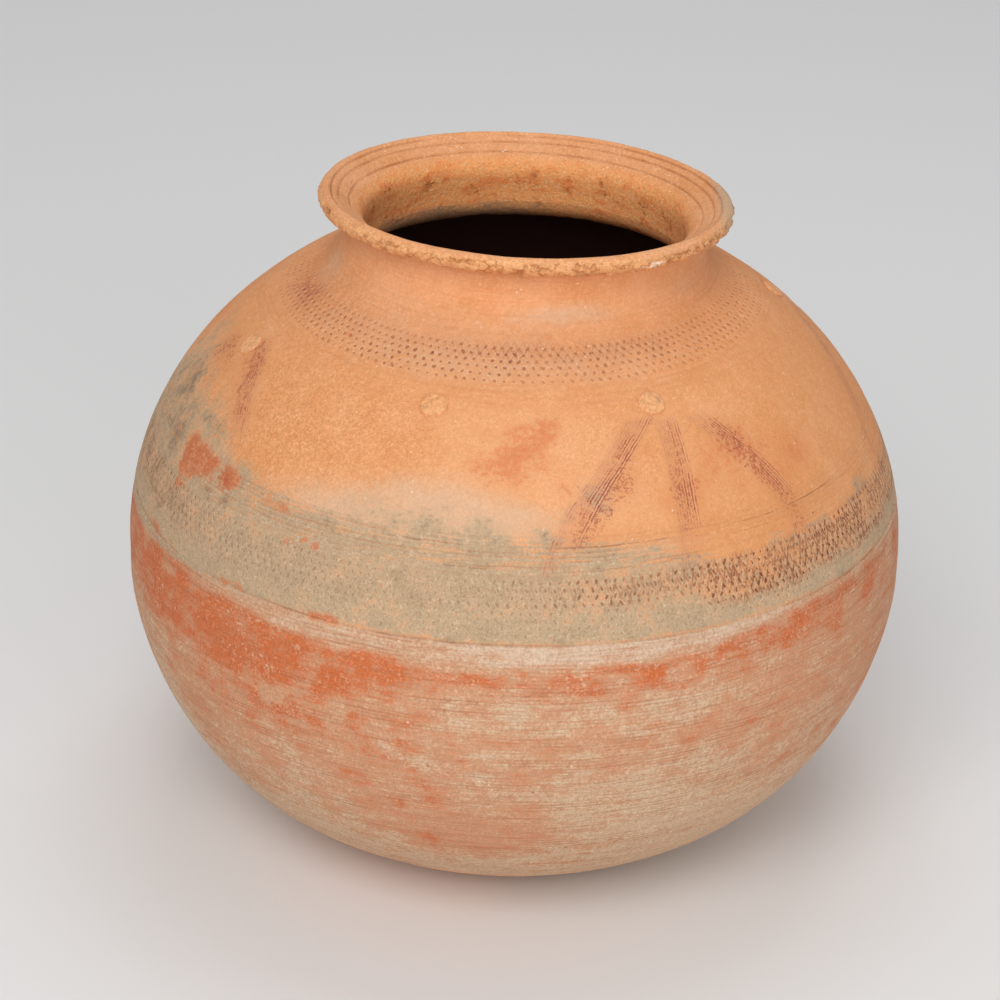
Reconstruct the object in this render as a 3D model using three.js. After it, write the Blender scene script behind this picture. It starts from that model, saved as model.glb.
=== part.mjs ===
// A round terracotta water jar, in millimetres, +Z up.
// The origin is the centre of the flattened foot that the jar stands on, and -Y is the side that is seen.
// The jar is raised from luted lumps of clay: a bowl, a belt coil, a shoulder, a collar, a lip and pellets.
import * as THREE from "three";

// Body outline: from the foot a lower wall, an upright belly and a shoulder, one above the other
const FOOT_R = 66;
const BELLY_R = 195;
const LOWER_HEIGHT = 136;
const BELLY_HEIGHT = 15;
const SHOULDER_HEIGHT = 139.5;
const LOWER_DRAFT = 1.55;
const LOWER_FULLNESS = 3.4;
const WALL = 9;
const FLOOR = 12;

// Neck: it leaves the shoulder at its base and hollows in to its narrowest radius under the lip
const NECK_R = 87;
const NECK_HOLLOW = 17;
const COLLAR_RISE = 6.5;

// Lip: it stands out from the neck, and its grooves are set in from the top of its round edge
const LIP_OVERHANG = 15;
const LIP_THICKNESS = 9.5;
const LIP_UNDERCUT = 3;
const LIP_SEAT = 0.3;
const LIP_GROOVE_INSETS = [1.25, 4.25, 10.75];
const LIP_GROOVE_WIDTH = 1.6;
const LIP_GROOVE_DEPTH = 0.7;
const LEAN_RIGHT_DEG = 1.3;
const LEAN_BACK_DEG = 1.8;
const SHIFT_RIGHT = 1.2;

// Belt: above the belly, with an incised line at its foot and combed lines down from its upper edge
const BELT_RISE = 30;
const BELT_HEIGHT = 45;
const COMB_LINES = 5;
const COMB_PITCH = 2.5;
const LINE_WIDTH = 1.4;
const LINE_DEPTH = 0.6;

// Pellets: a disc with a raised middle, its seat a hair off the wall
const PELLET_R = 6.2;
const PELLET_EDGE = 1.2;
const PELLET_CROWN = 1;
const PELLET_SLOPE = 1.8;
const PELLET_SEAT = 0.3;

// Each pellet's angle round the jar, 0 on the seen side, and its drop below the neck's base
const PELLETS = [
  { degrees: -70, drop: 23.5 },
  { degrees: -17, drop: 18.5 },
  { degrees: 28, drop: 18.5 },
  { degrees: 101, drop: 15.5 },
  { degrees: 157, drop: 18 },
  { degrees: 220, drop: 20 },
];

// Facets
const ROUND_STEPS = 48;
const LOWER_STEPS = 11;
const UPPER_STEPS = 12;
const NECK_STEPS = 8;
const LIP_STEPS = 6;
const PELLET_STEPS = 20;
const SAME_HEIGHT = 1e-6;

const bellyTopZ = LOWER_HEIGHT + BELLY_HEIGHT;
const beltLowZ = bellyTopZ + BELT_RISE;
const beltHighZ = beltLowZ + BELT_HEIGHT;
const neckBaseZ = bellyTopZ + SHOULDER_HEIGHT;
const collarZ = neckBaseZ + COLLAR_RISE;
const neckBaseR = NECK_R + NECK_HOLLOW;
const lowerDepth = LOWER_HEIGHT
  / (1 - (FOOT_R / BELLY_R) ** LOWER_FULLNESS) ** (1 / LOWER_DRAFT);
const shoulderRise = SHOULDER_HEIGHT / Math.sqrt(1 - (neckBaseR / BELLY_R) ** 2);

// The shoulder is a quarter of an ellipse: its radius and its outward normal at a height.
function shoulderAt(z) {
  const rise = (z - bellyTopZ) / shoulderRise;
  const r = BELLY_R * Math.sqrt(1 - rise * rise);
  const normal = new THREE.Vector2(r / BELLY_R ** 2, rise / shoulderRise).normalize();
  return { point: new THREE.Vector2(r, z), normal };
}

// The neck is an arc that touches the shoulder at the neck's base and stands upright at its top.
const neckBase = shoulderAt(neckBaseZ);
const neckArcR = NECK_HOLLOW / (1 - neckBase.normal.x);
const neckCentre = neckBase.point.clone().addScaledVector(neckBase.normal, neckArcR);
const neckTopZ = neckCentre.y;

// The lower wall is a quarter of a squared-off oval, from the foot's edge up to the belly.
function lowerOutline() {
  const footAngle = Math.acos((FOOT_R / BELLY_R) ** (LOWER_FULLNESS / 2));
  return Array.from({ length: LOWER_STEPS + 1 }, (_, i) => {
    const angle = footAngle * (1 - i / LOWER_STEPS);
    const r = BELLY_R * Math.cos(angle) ** (2 / LOWER_FULLNESS);
    const depth = lowerDepth * Math.sin(angle) ** (2 / LOWER_DRAFT);
    return new THREE.Vector2(r, LOWER_HEIGHT - depth);
  });
}

function upperOutline() {
  const topAngle = Math.asin(SHOULDER_HEIGHT / shoulderRise);
  return Array.from({ length: UPPER_STEPS + 1 }, (_, i) => {
    const angle = topAngle * i / UPPER_STEPS;
    return new THREE.Vector2(BELLY_R * Math.cos(angle), bellyTopZ + shoulderRise * Math.sin(angle));
  });
}

function neckOutline() {
  const baseAngle = Math.asin(neckBase.normal.y);
  return Array.from({ length: NECK_STEPS }, (_, i) => {
    const angle = baseAngle * (1 - (i + 1) / NECK_STEPS);
    return new THREE.Vector2(neckCentre.x - neckArcR * Math.cos(angle),
      neckCentre.y - neckArcR * Math.sin(angle));
  });
}

// The inner outline lies one wall in from the outer one, square to it.
function insetOutline(points, distance) {
  return points.map((point, i) => {
    const before = points[Math.max(i - 1, 0)];
    const after = points[Math.min(i + 1, points.length - 1)];
    const along = after.clone().sub(before).normalize();
    return new THREE.Vector2(point.x - along.y * distance, point.y + along.x * distance);
  });
}

function radiusAt(points, z) {
  const above = points.findIndex((point) => point.y >= z);
  const i = above < 0 ? points.length - 1 : Math.max(above, 1);
  const low = points[i - 1];
  const high = points[i];
  return low.x + (high.x - low.x) * (z - low.y) / (high.y - low.y);
}

// The stretch of an outline between two heights, with its end points added.
function stretch(points, low, high) {
  const between = points.filter((point) => point.y > low + SAME_HEIGHT && point.y < high - SAME_HEIGHT);
  return [new THREE.Vector2(radiusAt(points, low), low), ...between,
    new THREE.Vector2(radiusAt(points, high), high)];
}

// Cuts shallow V-shaped lines into an outline at the given heights.
function incise(points, heights) {
  const half = LINE_WIDTH / 2;
  const clear = points.filter((point) => heights.every((z) => Math.abs(point.y - z) > half));
  const cuts = heights.flatMap((z) => [
    new THREE.Vector2(radiusAt(points, z - half), z - half),
    new THREE.Vector2(radiusAt(points, z) - LINE_DEPTH, z),
    new THREE.Vector2(radiusAt(points, z + half), z + half),
  ]);
  return [...clear, ...cuts].sort((a, b) => a.y - b.y);
}

// Turns a profile of (radius, height) points about +Z.
function turned(profile, steps) {
  return new THREE.LatheGeometry(profile, steps).rotateX(Math.PI / 2);
}

function ring(outer, inner, low, high) {
  const profile = [...stretch(outer, low, high), ...stretch(inner, low, high).reverse()];
  return turned([...profile, profile[0].clone()], ROUND_STEPS);
}

function bowl(outer, inner, high) {
  return turned([new THREE.Vector2(0, 0), ...stretch(outer, 0, high),
    ...stretch(inner, FLOOR, high).reverse(), new THREE.Vector2(0, FLOOR)], ROUND_STEPS);
}

// The lip: a half-round edge, an underside that rises outwards, and a face that slopes into the mouth.
function lip() {
  const round = LIP_THICKNESS / 2;
  const seatZ = neckTopZ + LIP_SEAT;
  const edge = new THREE.Vector2(NECK_R + LIP_OVERHANG - round, seatZ + LIP_UNDERCUT + round);
  const mouth = new THREE.Vector2(NECK_R - WALL, seatZ);
  const arc = Array.from({ length: LIP_STEPS + 1 }, (_, i) => {
    const angle = Math.PI * (i / LIP_STEPS - 0.5);
    return new THREE.Vector2(edge.x + round * Math.cos(angle), edge.y + round * Math.sin(angle));
  });
  const brow = arc[LIP_STEPS];
  const faceAt = (r) => mouth.y + (brow.y - mouth.y) * (r - mouth.x) / (brow.x - mouth.x);
  const half = LIP_GROOVE_WIDTH / 2;
  const grooves = LIP_GROOVE_INSETS.map((inset) => brow.x - inset).flatMap((r) => [
    new THREE.Vector2(r + half, faceAt(r + half)),
    new THREE.Vector2(r, faceAt(r) - LIP_GROOVE_DEPTH),
    new THREE.Vector2(r - half, faceAt(r - half)),
  ]);
  return turned([mouth, new THREE.Vector2(NECK_R, seatZ), ...arc, ...grooves, mouth.clone()], ROUND_STEPS);
}

// Neck and lip lean and sit a little off centre: not at the collar's foot, in full from the neck's top.
function leaned(geometry) {
  const right = Math.tan(THREE.MathUtils.degToRad(LEAN_RIGHT_DEG));
  const back = Math.tan(THREE.MathUtils.degToRad(LEAN_BACK_DEG));
  const position = geometry.attributes.position;
  for (let i = 0; i < position.count; i += 1) {
    const share = THREE.MathUtils.smoothstep(position.getZ(i), collarZ, neckTopZ);
    const drop = right * position.getX(i) + back * position.getY(i);
    position.setX(i, position.getX(i) + share * SHIFT_RIGHT);
    position.setZ(i, position.getZ(i) - share * drop);
  }
  return geometry;
}

function pellet() {
  return turned([
    new THREE.Vector2(0, 0),
    new THREE.Vector2(PELLET_R, 0),
    new THREE.Vector2(PELLET_R, PELLET_EDGE),
    new THREE.Vector2(PELLET_R - PELLET_SLOPE, PELLET_EDGE + PELLET_CROWN),
    new THREE.Vector2(0, PELLET_EDGE + PELLET_CROWN),
  ], PELLET_STEPS);
}

function clay(colour) {
  return new THREE.MeshStandardMaterial({ color: colour, roughness: 0.85, metalness: 0 });
}

const RED_SLIP = clay("#c08a64");
const BUFF_CLAY = clay("#c4a88a");
const ORANGE_CLAY = clay("#e4a272");
const PALE_CLAY = clay("#e6ab7c");

const jar = new THREE.Group();

function add(name, geometry, material) {
  const mesh = new THREE.Mesh(geometry, material);
  mesh.name = name;
  jar.add(mesh);
  return mesh;
}

const combHeights = Array.from({ length: COMB_LINES }, (_, i) => beltHighZ - i * COMB_PITCH);
const plainOutline = [...lowerOutline(), ...upperOutline(), ...neckOutline()];
const innerOutline = insetOutline(plainOutline, WALL);
const outerOutline = incise(plainOutline, [beltLowZ, ...combHeights]);

add("base_bowl", bowl(outerOutline, innerOutline, beltLowZ), RED_SLIP);
add("belt", ring(outerOutline, innerOutline, beltLowZ, beltHighZ), BUFF_CLAY);
add("shoulder", ring(outerOutline, innerOutline, beltHighZ, collarZ), ORANGE_CLAY);
add("neck_collar", leaned(ring(outerOutline, innerOutline, collarZ, neckTopZ)), ORANGE_CLAY);
add("rim_lip", leaned(lip()), PALE_CLAY);

// Each pellet sits on the shoulder with its axis square to the wall.
PELLETS.forEach(({ degrees, drop }, i) => {
  const seat = shoulderAt(neckBaseZ - drop);
  const angle = THREE.MathUtils.degToRad(degrees);
  const outward = new THREE.Vector3(Math.sin(angle), -Math.cos(angle), 0);
  const normal = outward.clone().multiplyScalar(seat.normal.x);
  normal.z = seat.normal.y;
  const mesh = add(`pellet_${i + 1}`, pellet(), PALE_CLAY);
  mesh.position.copy(outward).multiplyScalar(seat.point.x);
  mesh.position.z = seat.point.y;
  mesh.position.addScaledVector(normal, PELLET_SEAT);
  mesh.quaternion.setFromUnitVectors(new THREE.Vector3(0, 0, 1), normal);
});

export default jar;
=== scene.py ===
# %% [markdown]
# # A round terracotta jar
# The real jar is raised by hand from lumps of clay that are luted together: a bowl, a belt, a shoulder, a
# collar, a lip and small pellets. Each of these is one piece here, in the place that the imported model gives.
# The frame is loaded first, because its boxes say where every piece starts and ends.

# %% Frame
import math

import bpy
import numpy as np
from mathutils import Matrix, Vector


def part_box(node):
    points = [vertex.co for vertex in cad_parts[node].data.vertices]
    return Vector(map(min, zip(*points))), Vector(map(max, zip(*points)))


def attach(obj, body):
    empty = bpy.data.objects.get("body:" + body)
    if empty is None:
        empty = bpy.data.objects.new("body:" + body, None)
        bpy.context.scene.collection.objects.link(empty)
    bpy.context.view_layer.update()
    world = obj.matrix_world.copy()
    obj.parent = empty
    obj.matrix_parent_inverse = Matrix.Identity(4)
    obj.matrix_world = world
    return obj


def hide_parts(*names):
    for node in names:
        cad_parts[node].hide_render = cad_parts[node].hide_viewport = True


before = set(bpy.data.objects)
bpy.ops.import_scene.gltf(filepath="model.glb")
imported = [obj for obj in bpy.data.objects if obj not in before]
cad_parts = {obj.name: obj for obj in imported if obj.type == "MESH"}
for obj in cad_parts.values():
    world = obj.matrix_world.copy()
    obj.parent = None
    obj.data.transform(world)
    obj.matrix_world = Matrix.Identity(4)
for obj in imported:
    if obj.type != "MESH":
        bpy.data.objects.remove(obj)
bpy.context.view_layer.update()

MM = 0.001
print("nodes:", sorted(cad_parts))

# %% [markdown]
# ## The stage
# The jar was photographed from a little above with a long lens, so the camera stands far off and looks down.
# Its small roll and shift put the jar where the picture has it. A wide soft lamp on the left, a weaker one on
# the right, a third above and behind and an even sky light it about as strongly as the colours are written.

# %% Camera
TARGET_HEIGHT = 0.1687
CAMERA_DISTANCE = 1.755
CAMERA_ELEVATION = math.radians(25.04)
CAMERA_ROLL = math.radians(1.70)
CAMERA_LENS = 124.2
CAMERA_SHIFT = (-0.01512, -0.00646)

bpy.ops.object.select_all(action="DESELECT")
bpy.ops.object.camera_add()
camera = bpy.context.object
camera.data.lens = CAMERA_LENS
camera.data.shift_x, camera.data.shift_y = CAMERA_SHIFT
back = Vector((0, -math.cos(CAMERA_ELEVATION), math.sin(CAMERA_ELEVATION)))
place = Matrix.Translation(Vector((0, 0, TARGET_HEIGHT)) + back * CAMERA_DISTANCE)
tilt = Matrix.Rotation(math.pi / 2 - CAMERA_ELEVATION, 4, "X")
camera.matrix_world = place @ tilt @ Matrix.Rotation(CAMERA_ROLL, 4, "Z")
bpy.context.scene.camera = camera
bpy.context.scene.view_settings.view_transform = "Standard"
print("camera at", tuple(round(v, 3) for v in camera.matrix_world.translation))


# %% Lamps
def soft_lamp(name, spot, size, power):
    """A square lamp that looks at the jar's middle."""
    bpy.ops.object.light_add(type="AREA", location=spot)
    lamp = bpy.context.object
    lamp.name = name
    lamp.data.size = size
    lamp.data.energy = power
    aim = Vector((0, 0, TARGET_HEIGHT)) - Vector(spot)
    lamp.rotation_mode = "QUATERNION"
    lamp.rotation_quaternion = aim.to_track_quat("-Z", "Y")
    return lamp


lamps = [
    soft_lamp("window_lamp", spot=(-0.6, -2.3, 2.2), size=1.7, power=41),
    soft_lamp("front_lamp", spot=(1.0, -2.6, 1.1), size=1.6, power=17),
    soft_lamp("top_lamp", spot=(0.2, 0.9, 2.8), size=1.6, power=15),
]
print("lamps:", [lamp.name for lamp in lamps])

# %% Sky and floor
SKY_STRENGTH = 0.38
FLOOR_SIZE = 30
FLOOR_GREY = 0.86
FLOOR_ROUGHNESS = 0.9

sky = bpy.data.worlds.new("sky")
bpy.context.scene.world = sky
sky.use_nodes = True
sky_light = sky.node_tree.nodes["Background"]
sky_light.inputs["Color"].default_value = (1, 1, 1, 1)
sky_light.inputs["Strength"].default_value = SKY_STRENGTH

bpy.ops.mesh.primitive_plane_add(size=FLOOR_SIZE)
floor = bpy.context.object
floor.name = "floor"
floor_paint = bpy.data.materials.new("floor_paint")
floor_paint.use_nodes = True
floor_shader = floor_paint.node_tree.nodes["Principled BSDF"]
floor_shader.inputs["Base Color"].default_value = (FLOOR_GREY, FLOOR_GREY, FLOOR_GREY, 1)
floor_shader.inputs["Roughness"].default_value = FLOOR_ROUGHNESS
floor.data.materials.append(floor_paint)
print("floor:", FLOOR_SIZE, "m wide")

# %% [markdown]
# ## The wall's outline
# Clay sags as it dries, so the body is no plain ball: the lower wall is a squared-off oval, then comes a
# short upright belly, a quarter of an ellipse for the shoulder and a hollow arc for the neck. The outline is
# worked out once, in millimetres, and every piece takes its stretch of it, so that the seams meet.

# %% Sizes in millimetres
FOOT_R = 66
BELLY_R = 195
LOWER_HEIGHT = 136
BELLY_HEIGHT = 15
SHOULDER_HEIGHT = 139.5
LOWER_DRAFT = 1.55
LOWER_FULLNESS = 3.4
WALL = 9
FLOOR_THICK = 12
NECK_R = 87
NECK_HOLLOW = 17
JOINT_THICK = 5.3
JOINT_HEIGHT = 291
JOINT_REACH = 9.5
BELT_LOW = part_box("belt")[0].z / MM
BELT_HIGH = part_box("belt")[1].z / MM
COLLAR_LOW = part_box("shoulder")[1].z / MM
print("seams at", round(BELT_LOW, 2), round(BELT_HIGH, 2), round(COLLAR_LOW, 2), "mm")


# %% Outline
def wall_outline(points):
    """Radius and height up the outer wall, from the foot's edge to the neck's top."""
    foot_share = FOOT_R / BELLY_R
    foot_angle = math.acos(foot_share ** (LOWER_FULLNESS / 2))
    depth = LOWER_HEIGHT / (1 - foot_share ** LOWER_FULLNESS) ** (1 / LOWER_DRAFT)
    angle = foot_angle * np.linspace(1, 0, points)
    lower = np.stack([BELLY_R * np.cos(angle) ** (2 / LOWER_FULLNESS),
                      LOWER_HEIGHT - depth * np.sin(angle) ** (2 / LOWER_DRAFT)], 1)
    belly_top = LOWER_HEIGHT + BELLY_HEIGHT
    rise = SHOULDER_HEIGHT / math.sqrt(1 - ((NECK_R + NECK_HOLLOW) / BELLY_R) ** 2)
    angle = math.asin(SHOULDER_HEIGHT / rise) * np.linspace(0, 1, points)
    upper = np.stack([BELLY_R * np.cos(angle), belly_top + rise * np.sin(angle)], 1)
    normal = np.array([upper[-1, 0] / BELLY_R ** 2, SHOULDER_HEIGHT / rise ** 2])
    normal = normal / np.linalg.norm(normal)
    hollow = NECK_HOLLOW / (1 - normal[0])
    centre = upper[-1] + normal * hollow
    angle = math.asin(normal[1]) * np.linspace(1, 0, points)[1:]
    neck = np.stack([centre[0] - hollow * np.cos(angle), centre[1] - hollow * np.sin(angle)], 1)
    return np.concatenate([lower, upper, neck])


OUTLINE = wall_outline(points=400)
NECK_TOP = OUTLINE[-1, 1]
steps_up = np.gradient(OUTLINE, axis=0)
steps_up = steps_up / np.linalg.norm(steps_up, axis=1)[:, None]
NORMALS = np.stack([steps_up[:, 1], -steps_up[:, 0]], 1)
INSIDE = OUTLINE - WALL * NORMALS
WAY_UP = np.concatenate([[0], np.cumsum(np.linalg.norm(np.diff(OUTLINE, axis=0), axis=1))])


def radius_at(z):
    return np.interp(z, OUTLINE[:, 1], OUTLINE[:, 0])


def inside_radius_at(z):
    """The inner wall, with the thicker ring of clay where the collar was luted on."""
    joint = JOINT_THICK * np.exp(-((np.asarray(z) - JOINT_HEIGHT) / JOINT_REACH) ** 2)
    return np.interp(z, INSIDE[:, 1], INSIDE[:, 0]) - joint


def way_up_at(z):
    return np.interp(z, OUTLINE[:, 1], WAY_UP)


def rows(low, high, spacing):
    """Heights from low to high, evenly spaced along the wall."""
    first, last = way_up_at([low, high])
    way = np.linspace(first, last, round((last - first) / spacing) + 1)
    heights = np.interp(way, WAY_UP, OUTLINE[:, 1])
    heights[0], heights[-1] = low, high
    return heights


print("neck top at", round(NECK_TOP, 2), "mm, wall", round(WAY_UP[-1]), "mm long")

# %% [markdown]
# ## Throwing the rings
# A potter turns the pot. Here a closed loop of points, the cut through the wall, is turned once round the
# axis by a Screw modifier, which makes so many faces faster than edit mode's spin. The rows lie close
# together where fine marks will be pressed in and further apart where the wall is plain. The circles at a
# seam are marked sharp, so that the skin shades on across the seam.

# %% Spinning a profile
MERGE_GAP = 0.01
SAME_PLACE = 0.001


def spun(name, profile, turns, seams):
    """A closed piece from its profile of (radius, height) points in millimetres."""
    bpy.ops.object.select_all(action="DESELECT")
    bpy.ops.mesh.primitive_circle_add(vertices=len(profile), radius=BELLY_R * MM)
    piece = bpy.context.object
    piece.name = piece.data.name = name
    for vertex, (radius, height) in zip(piece.data.vertices, profile):
        vertex.co = (radius * MM, 0, height * MM)
    wheel = piece.modifiers.new("wheel", "SCREW")
    wheel.steps = wheel.render_steps = turns
    bpy.ops.object.modifier_apply(modifier=wheel.name)
    bpy.ops.object.mode_set(mode="EDIT")
    bpy.ops.mesh.select_all(action="SELECT")
    bpy.ops.mesh.remove_doubles(threshold=MERGE_GAP * MM)
    bpy.ops.mesh.delete_loose(use_verts=True, use_edges=True, use_faces=False)
    bpy.ops.mesh.select_all(action="SELECT")
    bpy.ops.mesh.normals_make_consistent(inside=False)
    bpy.ops.mesh.select_all(action="DESELECT")
    bpy.ops.object.mode_set(mode="OBJECT")
    bpy.ops.object.shade_smooth()
    mark_seams(piece, seams)
    return piece


def mark_seams(piece, seams):
    """Marks the circles at the seam heights as sharp."""
    mesh = piece.data
    place = positions(piece)
    radius = np.hypot(place[:, 0], place[:, 1])
    ends = np.empty(len(mesh.edges) * 2, np.int32)
    mesh.edges.foreach_get("vertices", ends)
    one, other = ends.reshape(-1, 2).T
    round_edge = np.abs(radius[one] - radius[other]) < SAME_PLACE
    at_seam = np.zeros(len(one), bool)
    for height in seams:
        off = np.abs(place[:, 2] - height)
        at_seam |= np.maximum(off[one], off[other]) < SAME_PLACE
    sharp = mesh.attributes.new("sharp_edge", "BOOLEAN", "EDGE")
    sharp.data.foreach_set("value", round_edge & at_seam)


def positions(piece):
    """The vertices in millimetres, one row each."""
    flat = np.empty(len(piece.data.vertices) * 3, np.float32)
    piece.data.vertices.foreach_get("co", flat)
    return flat.reshape(-1, 3).astype(float) / MM


def move_to(piece, place):
    piece.data.vertices.foreach_set("co", (place * MM).astype(np.float32).ravel())
    piece.data.update()


print("points closer than", MERGE_GAP, "mm are merged")

# %% The rings of the body
BAND_LOW = 280
BAND_HIGH = 294
PRINT_LOW = 187
PRINT_HIGH = 213
JOINT_LOW = 270
JOINT_SPACING = 3
FINE_LOW = 150
FLOOR_CIRCLES = 14
BOWL_TURNS, BELT_TURNS, SHOULDER_TURNS = 480, 1680, 850


def stacked(*stretches):
    """Heights up stretches that follow on one another, each given by its low, high and spacing."""
    parts = [rows(*stretch)[:-1] for stretch in stretches]
    return np.concatenate(parts + [[stretches[-1][1]]])


def ring_profile(outer, inner_spacing):
    """Up the outer wall and down the inner one."""
    inner = rows(outer[0], outer[-1], inner_spacing)
    if outer[-1] > JOINT_HEIGHT:
        joint = np.arange(JOINT_LOW, outer[-1], JOINT_SPACING)
        inner = np.concatenate([inner[inner < JOINT_LOW], joint, outer[-1:]])
    return [(radius_at(z), z) for z in outer] + [(inside_radius_at(z), z) for z in inner[::-1]]


outer_bowl = stacked((0, FINE_LOW, 2.4), (FINE_LOW, BELT_LOW, 0.85))
outer_belt = stacked((BELT_LOW, PRINT_LOW, 1.4), (PRINT_LOW, PRINT_HIGH, 0.8), (PRINT_HIGH, BELT_HIGH, 1.3))
outer_shoulder = stacked((BELT_HIGH, BAND_LOW, 1.3), (BAND_LOW, BAND_HIGH, 0.75),
                         (BAND_HIGH, COLLAR_LOW, 1.3))
inner_bowl = rows(FLOOR_THICK, BELT_LOW, spacing=6)
floor_edge = inside_radius_at(FLOOR_THICK)
bowl_profile = [(r, 0) for r in np.linspace(0, FOOT_R, FLOOR_CIRCLES)[:-1]]
bowl_profile += [(radius_at(z), z) for z in outer_bowl]
bowl_profile += [(inside_radius_at(z), z) for z in inner_bowl[::-1]]
bowl_profile += [(r, FLOOR_THICK) for r in np.linspace(floor_edge, 0, FLOOR_CIRCLES)[1:]]
belt_profile = ring_profile(outer_belt, inner_spacing=7)
shoulder_profile = ring_profile(outer_shoulder, inner_spacing=8)
bowl = spun("base_bowl_skin", bowl_profile, BOWL_TURNS, [BELT_LOW])
belt = spun("belt_skin", belt_profile, BELT_TURNS, [BELT_LOW, BELT_HIGH])
shoulder = spun("shoulder_skin", shoulder_profile, SHOULDER_TURNS, [BELT_HIGH, COLLAR_LOW])
for piece in (bowl, belt, shoulder):
    print(piece.name, len(piece.data.polygons), "faces")

# %% [markdown]
# ## Neck and lip
# The neck hollows in and the lip turns out, with a half-round edge, three turned grooves on its upper face
# and a soft bend down into the mouth. The bend is an arc that both pieces share. They are spun upright here
# and leaned later, because the whole top of the jar sits a little askew.

# %% Neck and lip
LIP_OVERHANG = 15
LIP_THICKNESS = 9.5
LIP_UNDERCUT = 3
LIP_SEAT = 0.3
GROOVE_INSETS = (2.4, 6.6, 13)
MOUTH_ROUND = 14
MOUTH_SOFT = 2.4
LIP_SPACING = 0.7
SEAT_SPACING = 3
EDGE_POINTS = 22
BEND_POINTS = 12
LIP_TURNS = 900
NECK_TURNS = 720

edge_round = LIP_THICKNESS / 2
seat_z = NECK_TOP + LIP_SEAT
edge_r = NECK_R + LIP_OVERHANG - edge_round
edge_z = seat_z + LIP_UNDERCUT + edge_round
brow_z = edge_z + edge_round
mouth_r = NECK_R - WALL
face_slope = math.atan2(brow_z - seat_z, edge_r - mouth_r)
bend_length = MOUTH_ROUND * math.tan((math.pi / 2 - face_slope) / 2)
bend_low = seat_z - bend_length
face_end_r = mouth_r + bend_length * math.cos(face_slope)
face_end_z = seat_z + bend_length * math.sin(face_slope)


def mouth_radius_at(z):
    """The inner wall's radius near the mouth, where the lip's bend runs softly into the collar's wall."""
    rise = np.clip(z - bend_low, 0, MOUTH_ROUND)
    bend_r = mouth_r + MOUTH_ROUND - np.sqrt(MOUTH_ROUND ** 2 - rise ** 2)
    wall_r = inside_radius_at(z)
    return (bend_r + wall_r + np.sqrt((bend_r - wall_r) ** 2 + MOUTH_SOFT ** 2)) / 2


def neck_inside_at(z):
    """The collar's inner wall, which starts on the shoulder's and ends on the lip's."""
    share = np.clip((z - COLLAR_LOW) / (bend_low - COLLAR_LOW), 0, 1)
    return inside_radius_at(z) * (1 - share) + mouth_radius_at(z) * share


def filled(corners, spacing):
    """The corners' line with points added no further apart than the spacing."""
    points = []
    for (r0, z0), (r1, z1) in zip(corners, corners[1:]):
        count = max(1, math.ceil(math.hypot(r1 - r0, z1 - z0) / spacing))
        points += [(r0 + (r1 - r0) * i / count, z0 + (z1 - z0) * i / count) for i in range(count)]
    return points + [corners[-1]]


turn = np.linspace(-math.pi / 2, math.pi / 2, EDGE_POINTS)
lip_edge = [(edge_r + edge_round * math.cos(a), edge_z + edge_round * math.sin(a)) for a in turn]
bend = [(mouth_radius_at(z), z) for z in np.linspace(face_end_z, NECK_TOP, BEND_POINTS)]
lip_profile = filled([(NECK_R, NECK_TOP), lip_edge[0]], LIP_SPACING)[:-1] + lip_edge
lip_profile += filled([lip_edge[-1], bend[0]], LIP_SPACING)[1:-1] + bend
lip_profile += filled([bend[-1], (NECK_R, NECK_TOP)], SEAT_SPACING)[1:-1]
lip = spun("rim_lip_skin", lip_profile, LIP_TURNS, [NECK_TOP])

outer_neck = rows(COLLAR_LOW, NECK_TOP, spacing=0.9)
neck_profile = [(radius_at(z), z) for z in outer_neck]
neck_profile += [(neck_inside_at(z), z) for z in outer_neck[::-1]]
neck = spun("neck_collar_skin", neck_profile, NECK_TURNS, [COLLAR_LOW, NECK_TOP])
for piece in (lip, neck):
    print(piece.name, len(piece.data.polygons), "faces")

# %% [markdown]
# ## Grain
# Clay is never even. A small lattice noise in numpy gives lumps of any size, the same ones at each run. It
# roughens the skin, wavers the drawn lines and wears the marks away in places.


# %% Grain and scatter
def scatter(seed, *cells):
    """A fixed number from -1 to 1 for each lattice cell, which is given by whole numbers."""
    low_bits = np.uint64(0xFFFFFFFF)
    mixed = np.full(np.shape(cells[0]), seed * 7919 + 17, np.uint64)
    for cell in cells:
        mixed = (mixed ^ np.asarray(cell).astype(np.int64).astype(np.uint64)) & low_bits
        mixed = ((mixed ^ (mixed >> np.uint64(16))) * np.uint64(0x7FEB352D)) & low_bits
        mixed = ((mixed ^ (mixed >> np.uint64(15))) * np.uint64(0x846CA68B)) & low_bits
    mixed = mixed ^ (mixed >> np.uint64(16))
    return mixed.astype(float) / 2 ** 31 - 1


def grain(place, size, seed):
    """Smooth noise from -1 to 1 with lumps of the given size in millimetres."""
    point = place / size
    cell = np.floor(point)
    part = point - cell
    part = part * part * (3 - 2 * part)
    total = np.zeros(len(place))
    for corner in np.ndindex(2, 2, 2):
        weight = np.prod(np.where(corner, part, 1 - part), axis=1)
        total += weight * scatter(seed, *(cell + corner).T)
    return total


def smooth(low, high, value):
    """0 below low, 1 above high and a smooth step between them."""
    share = np.clip((value - low) / (high - low), 0, 1)
    return share * share * (3 - 2 * share)


print("grain:", np.round(grain(np.array([[1.0, 2, 3], [40, 50, 60]]), 10, 1), 3))


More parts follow.
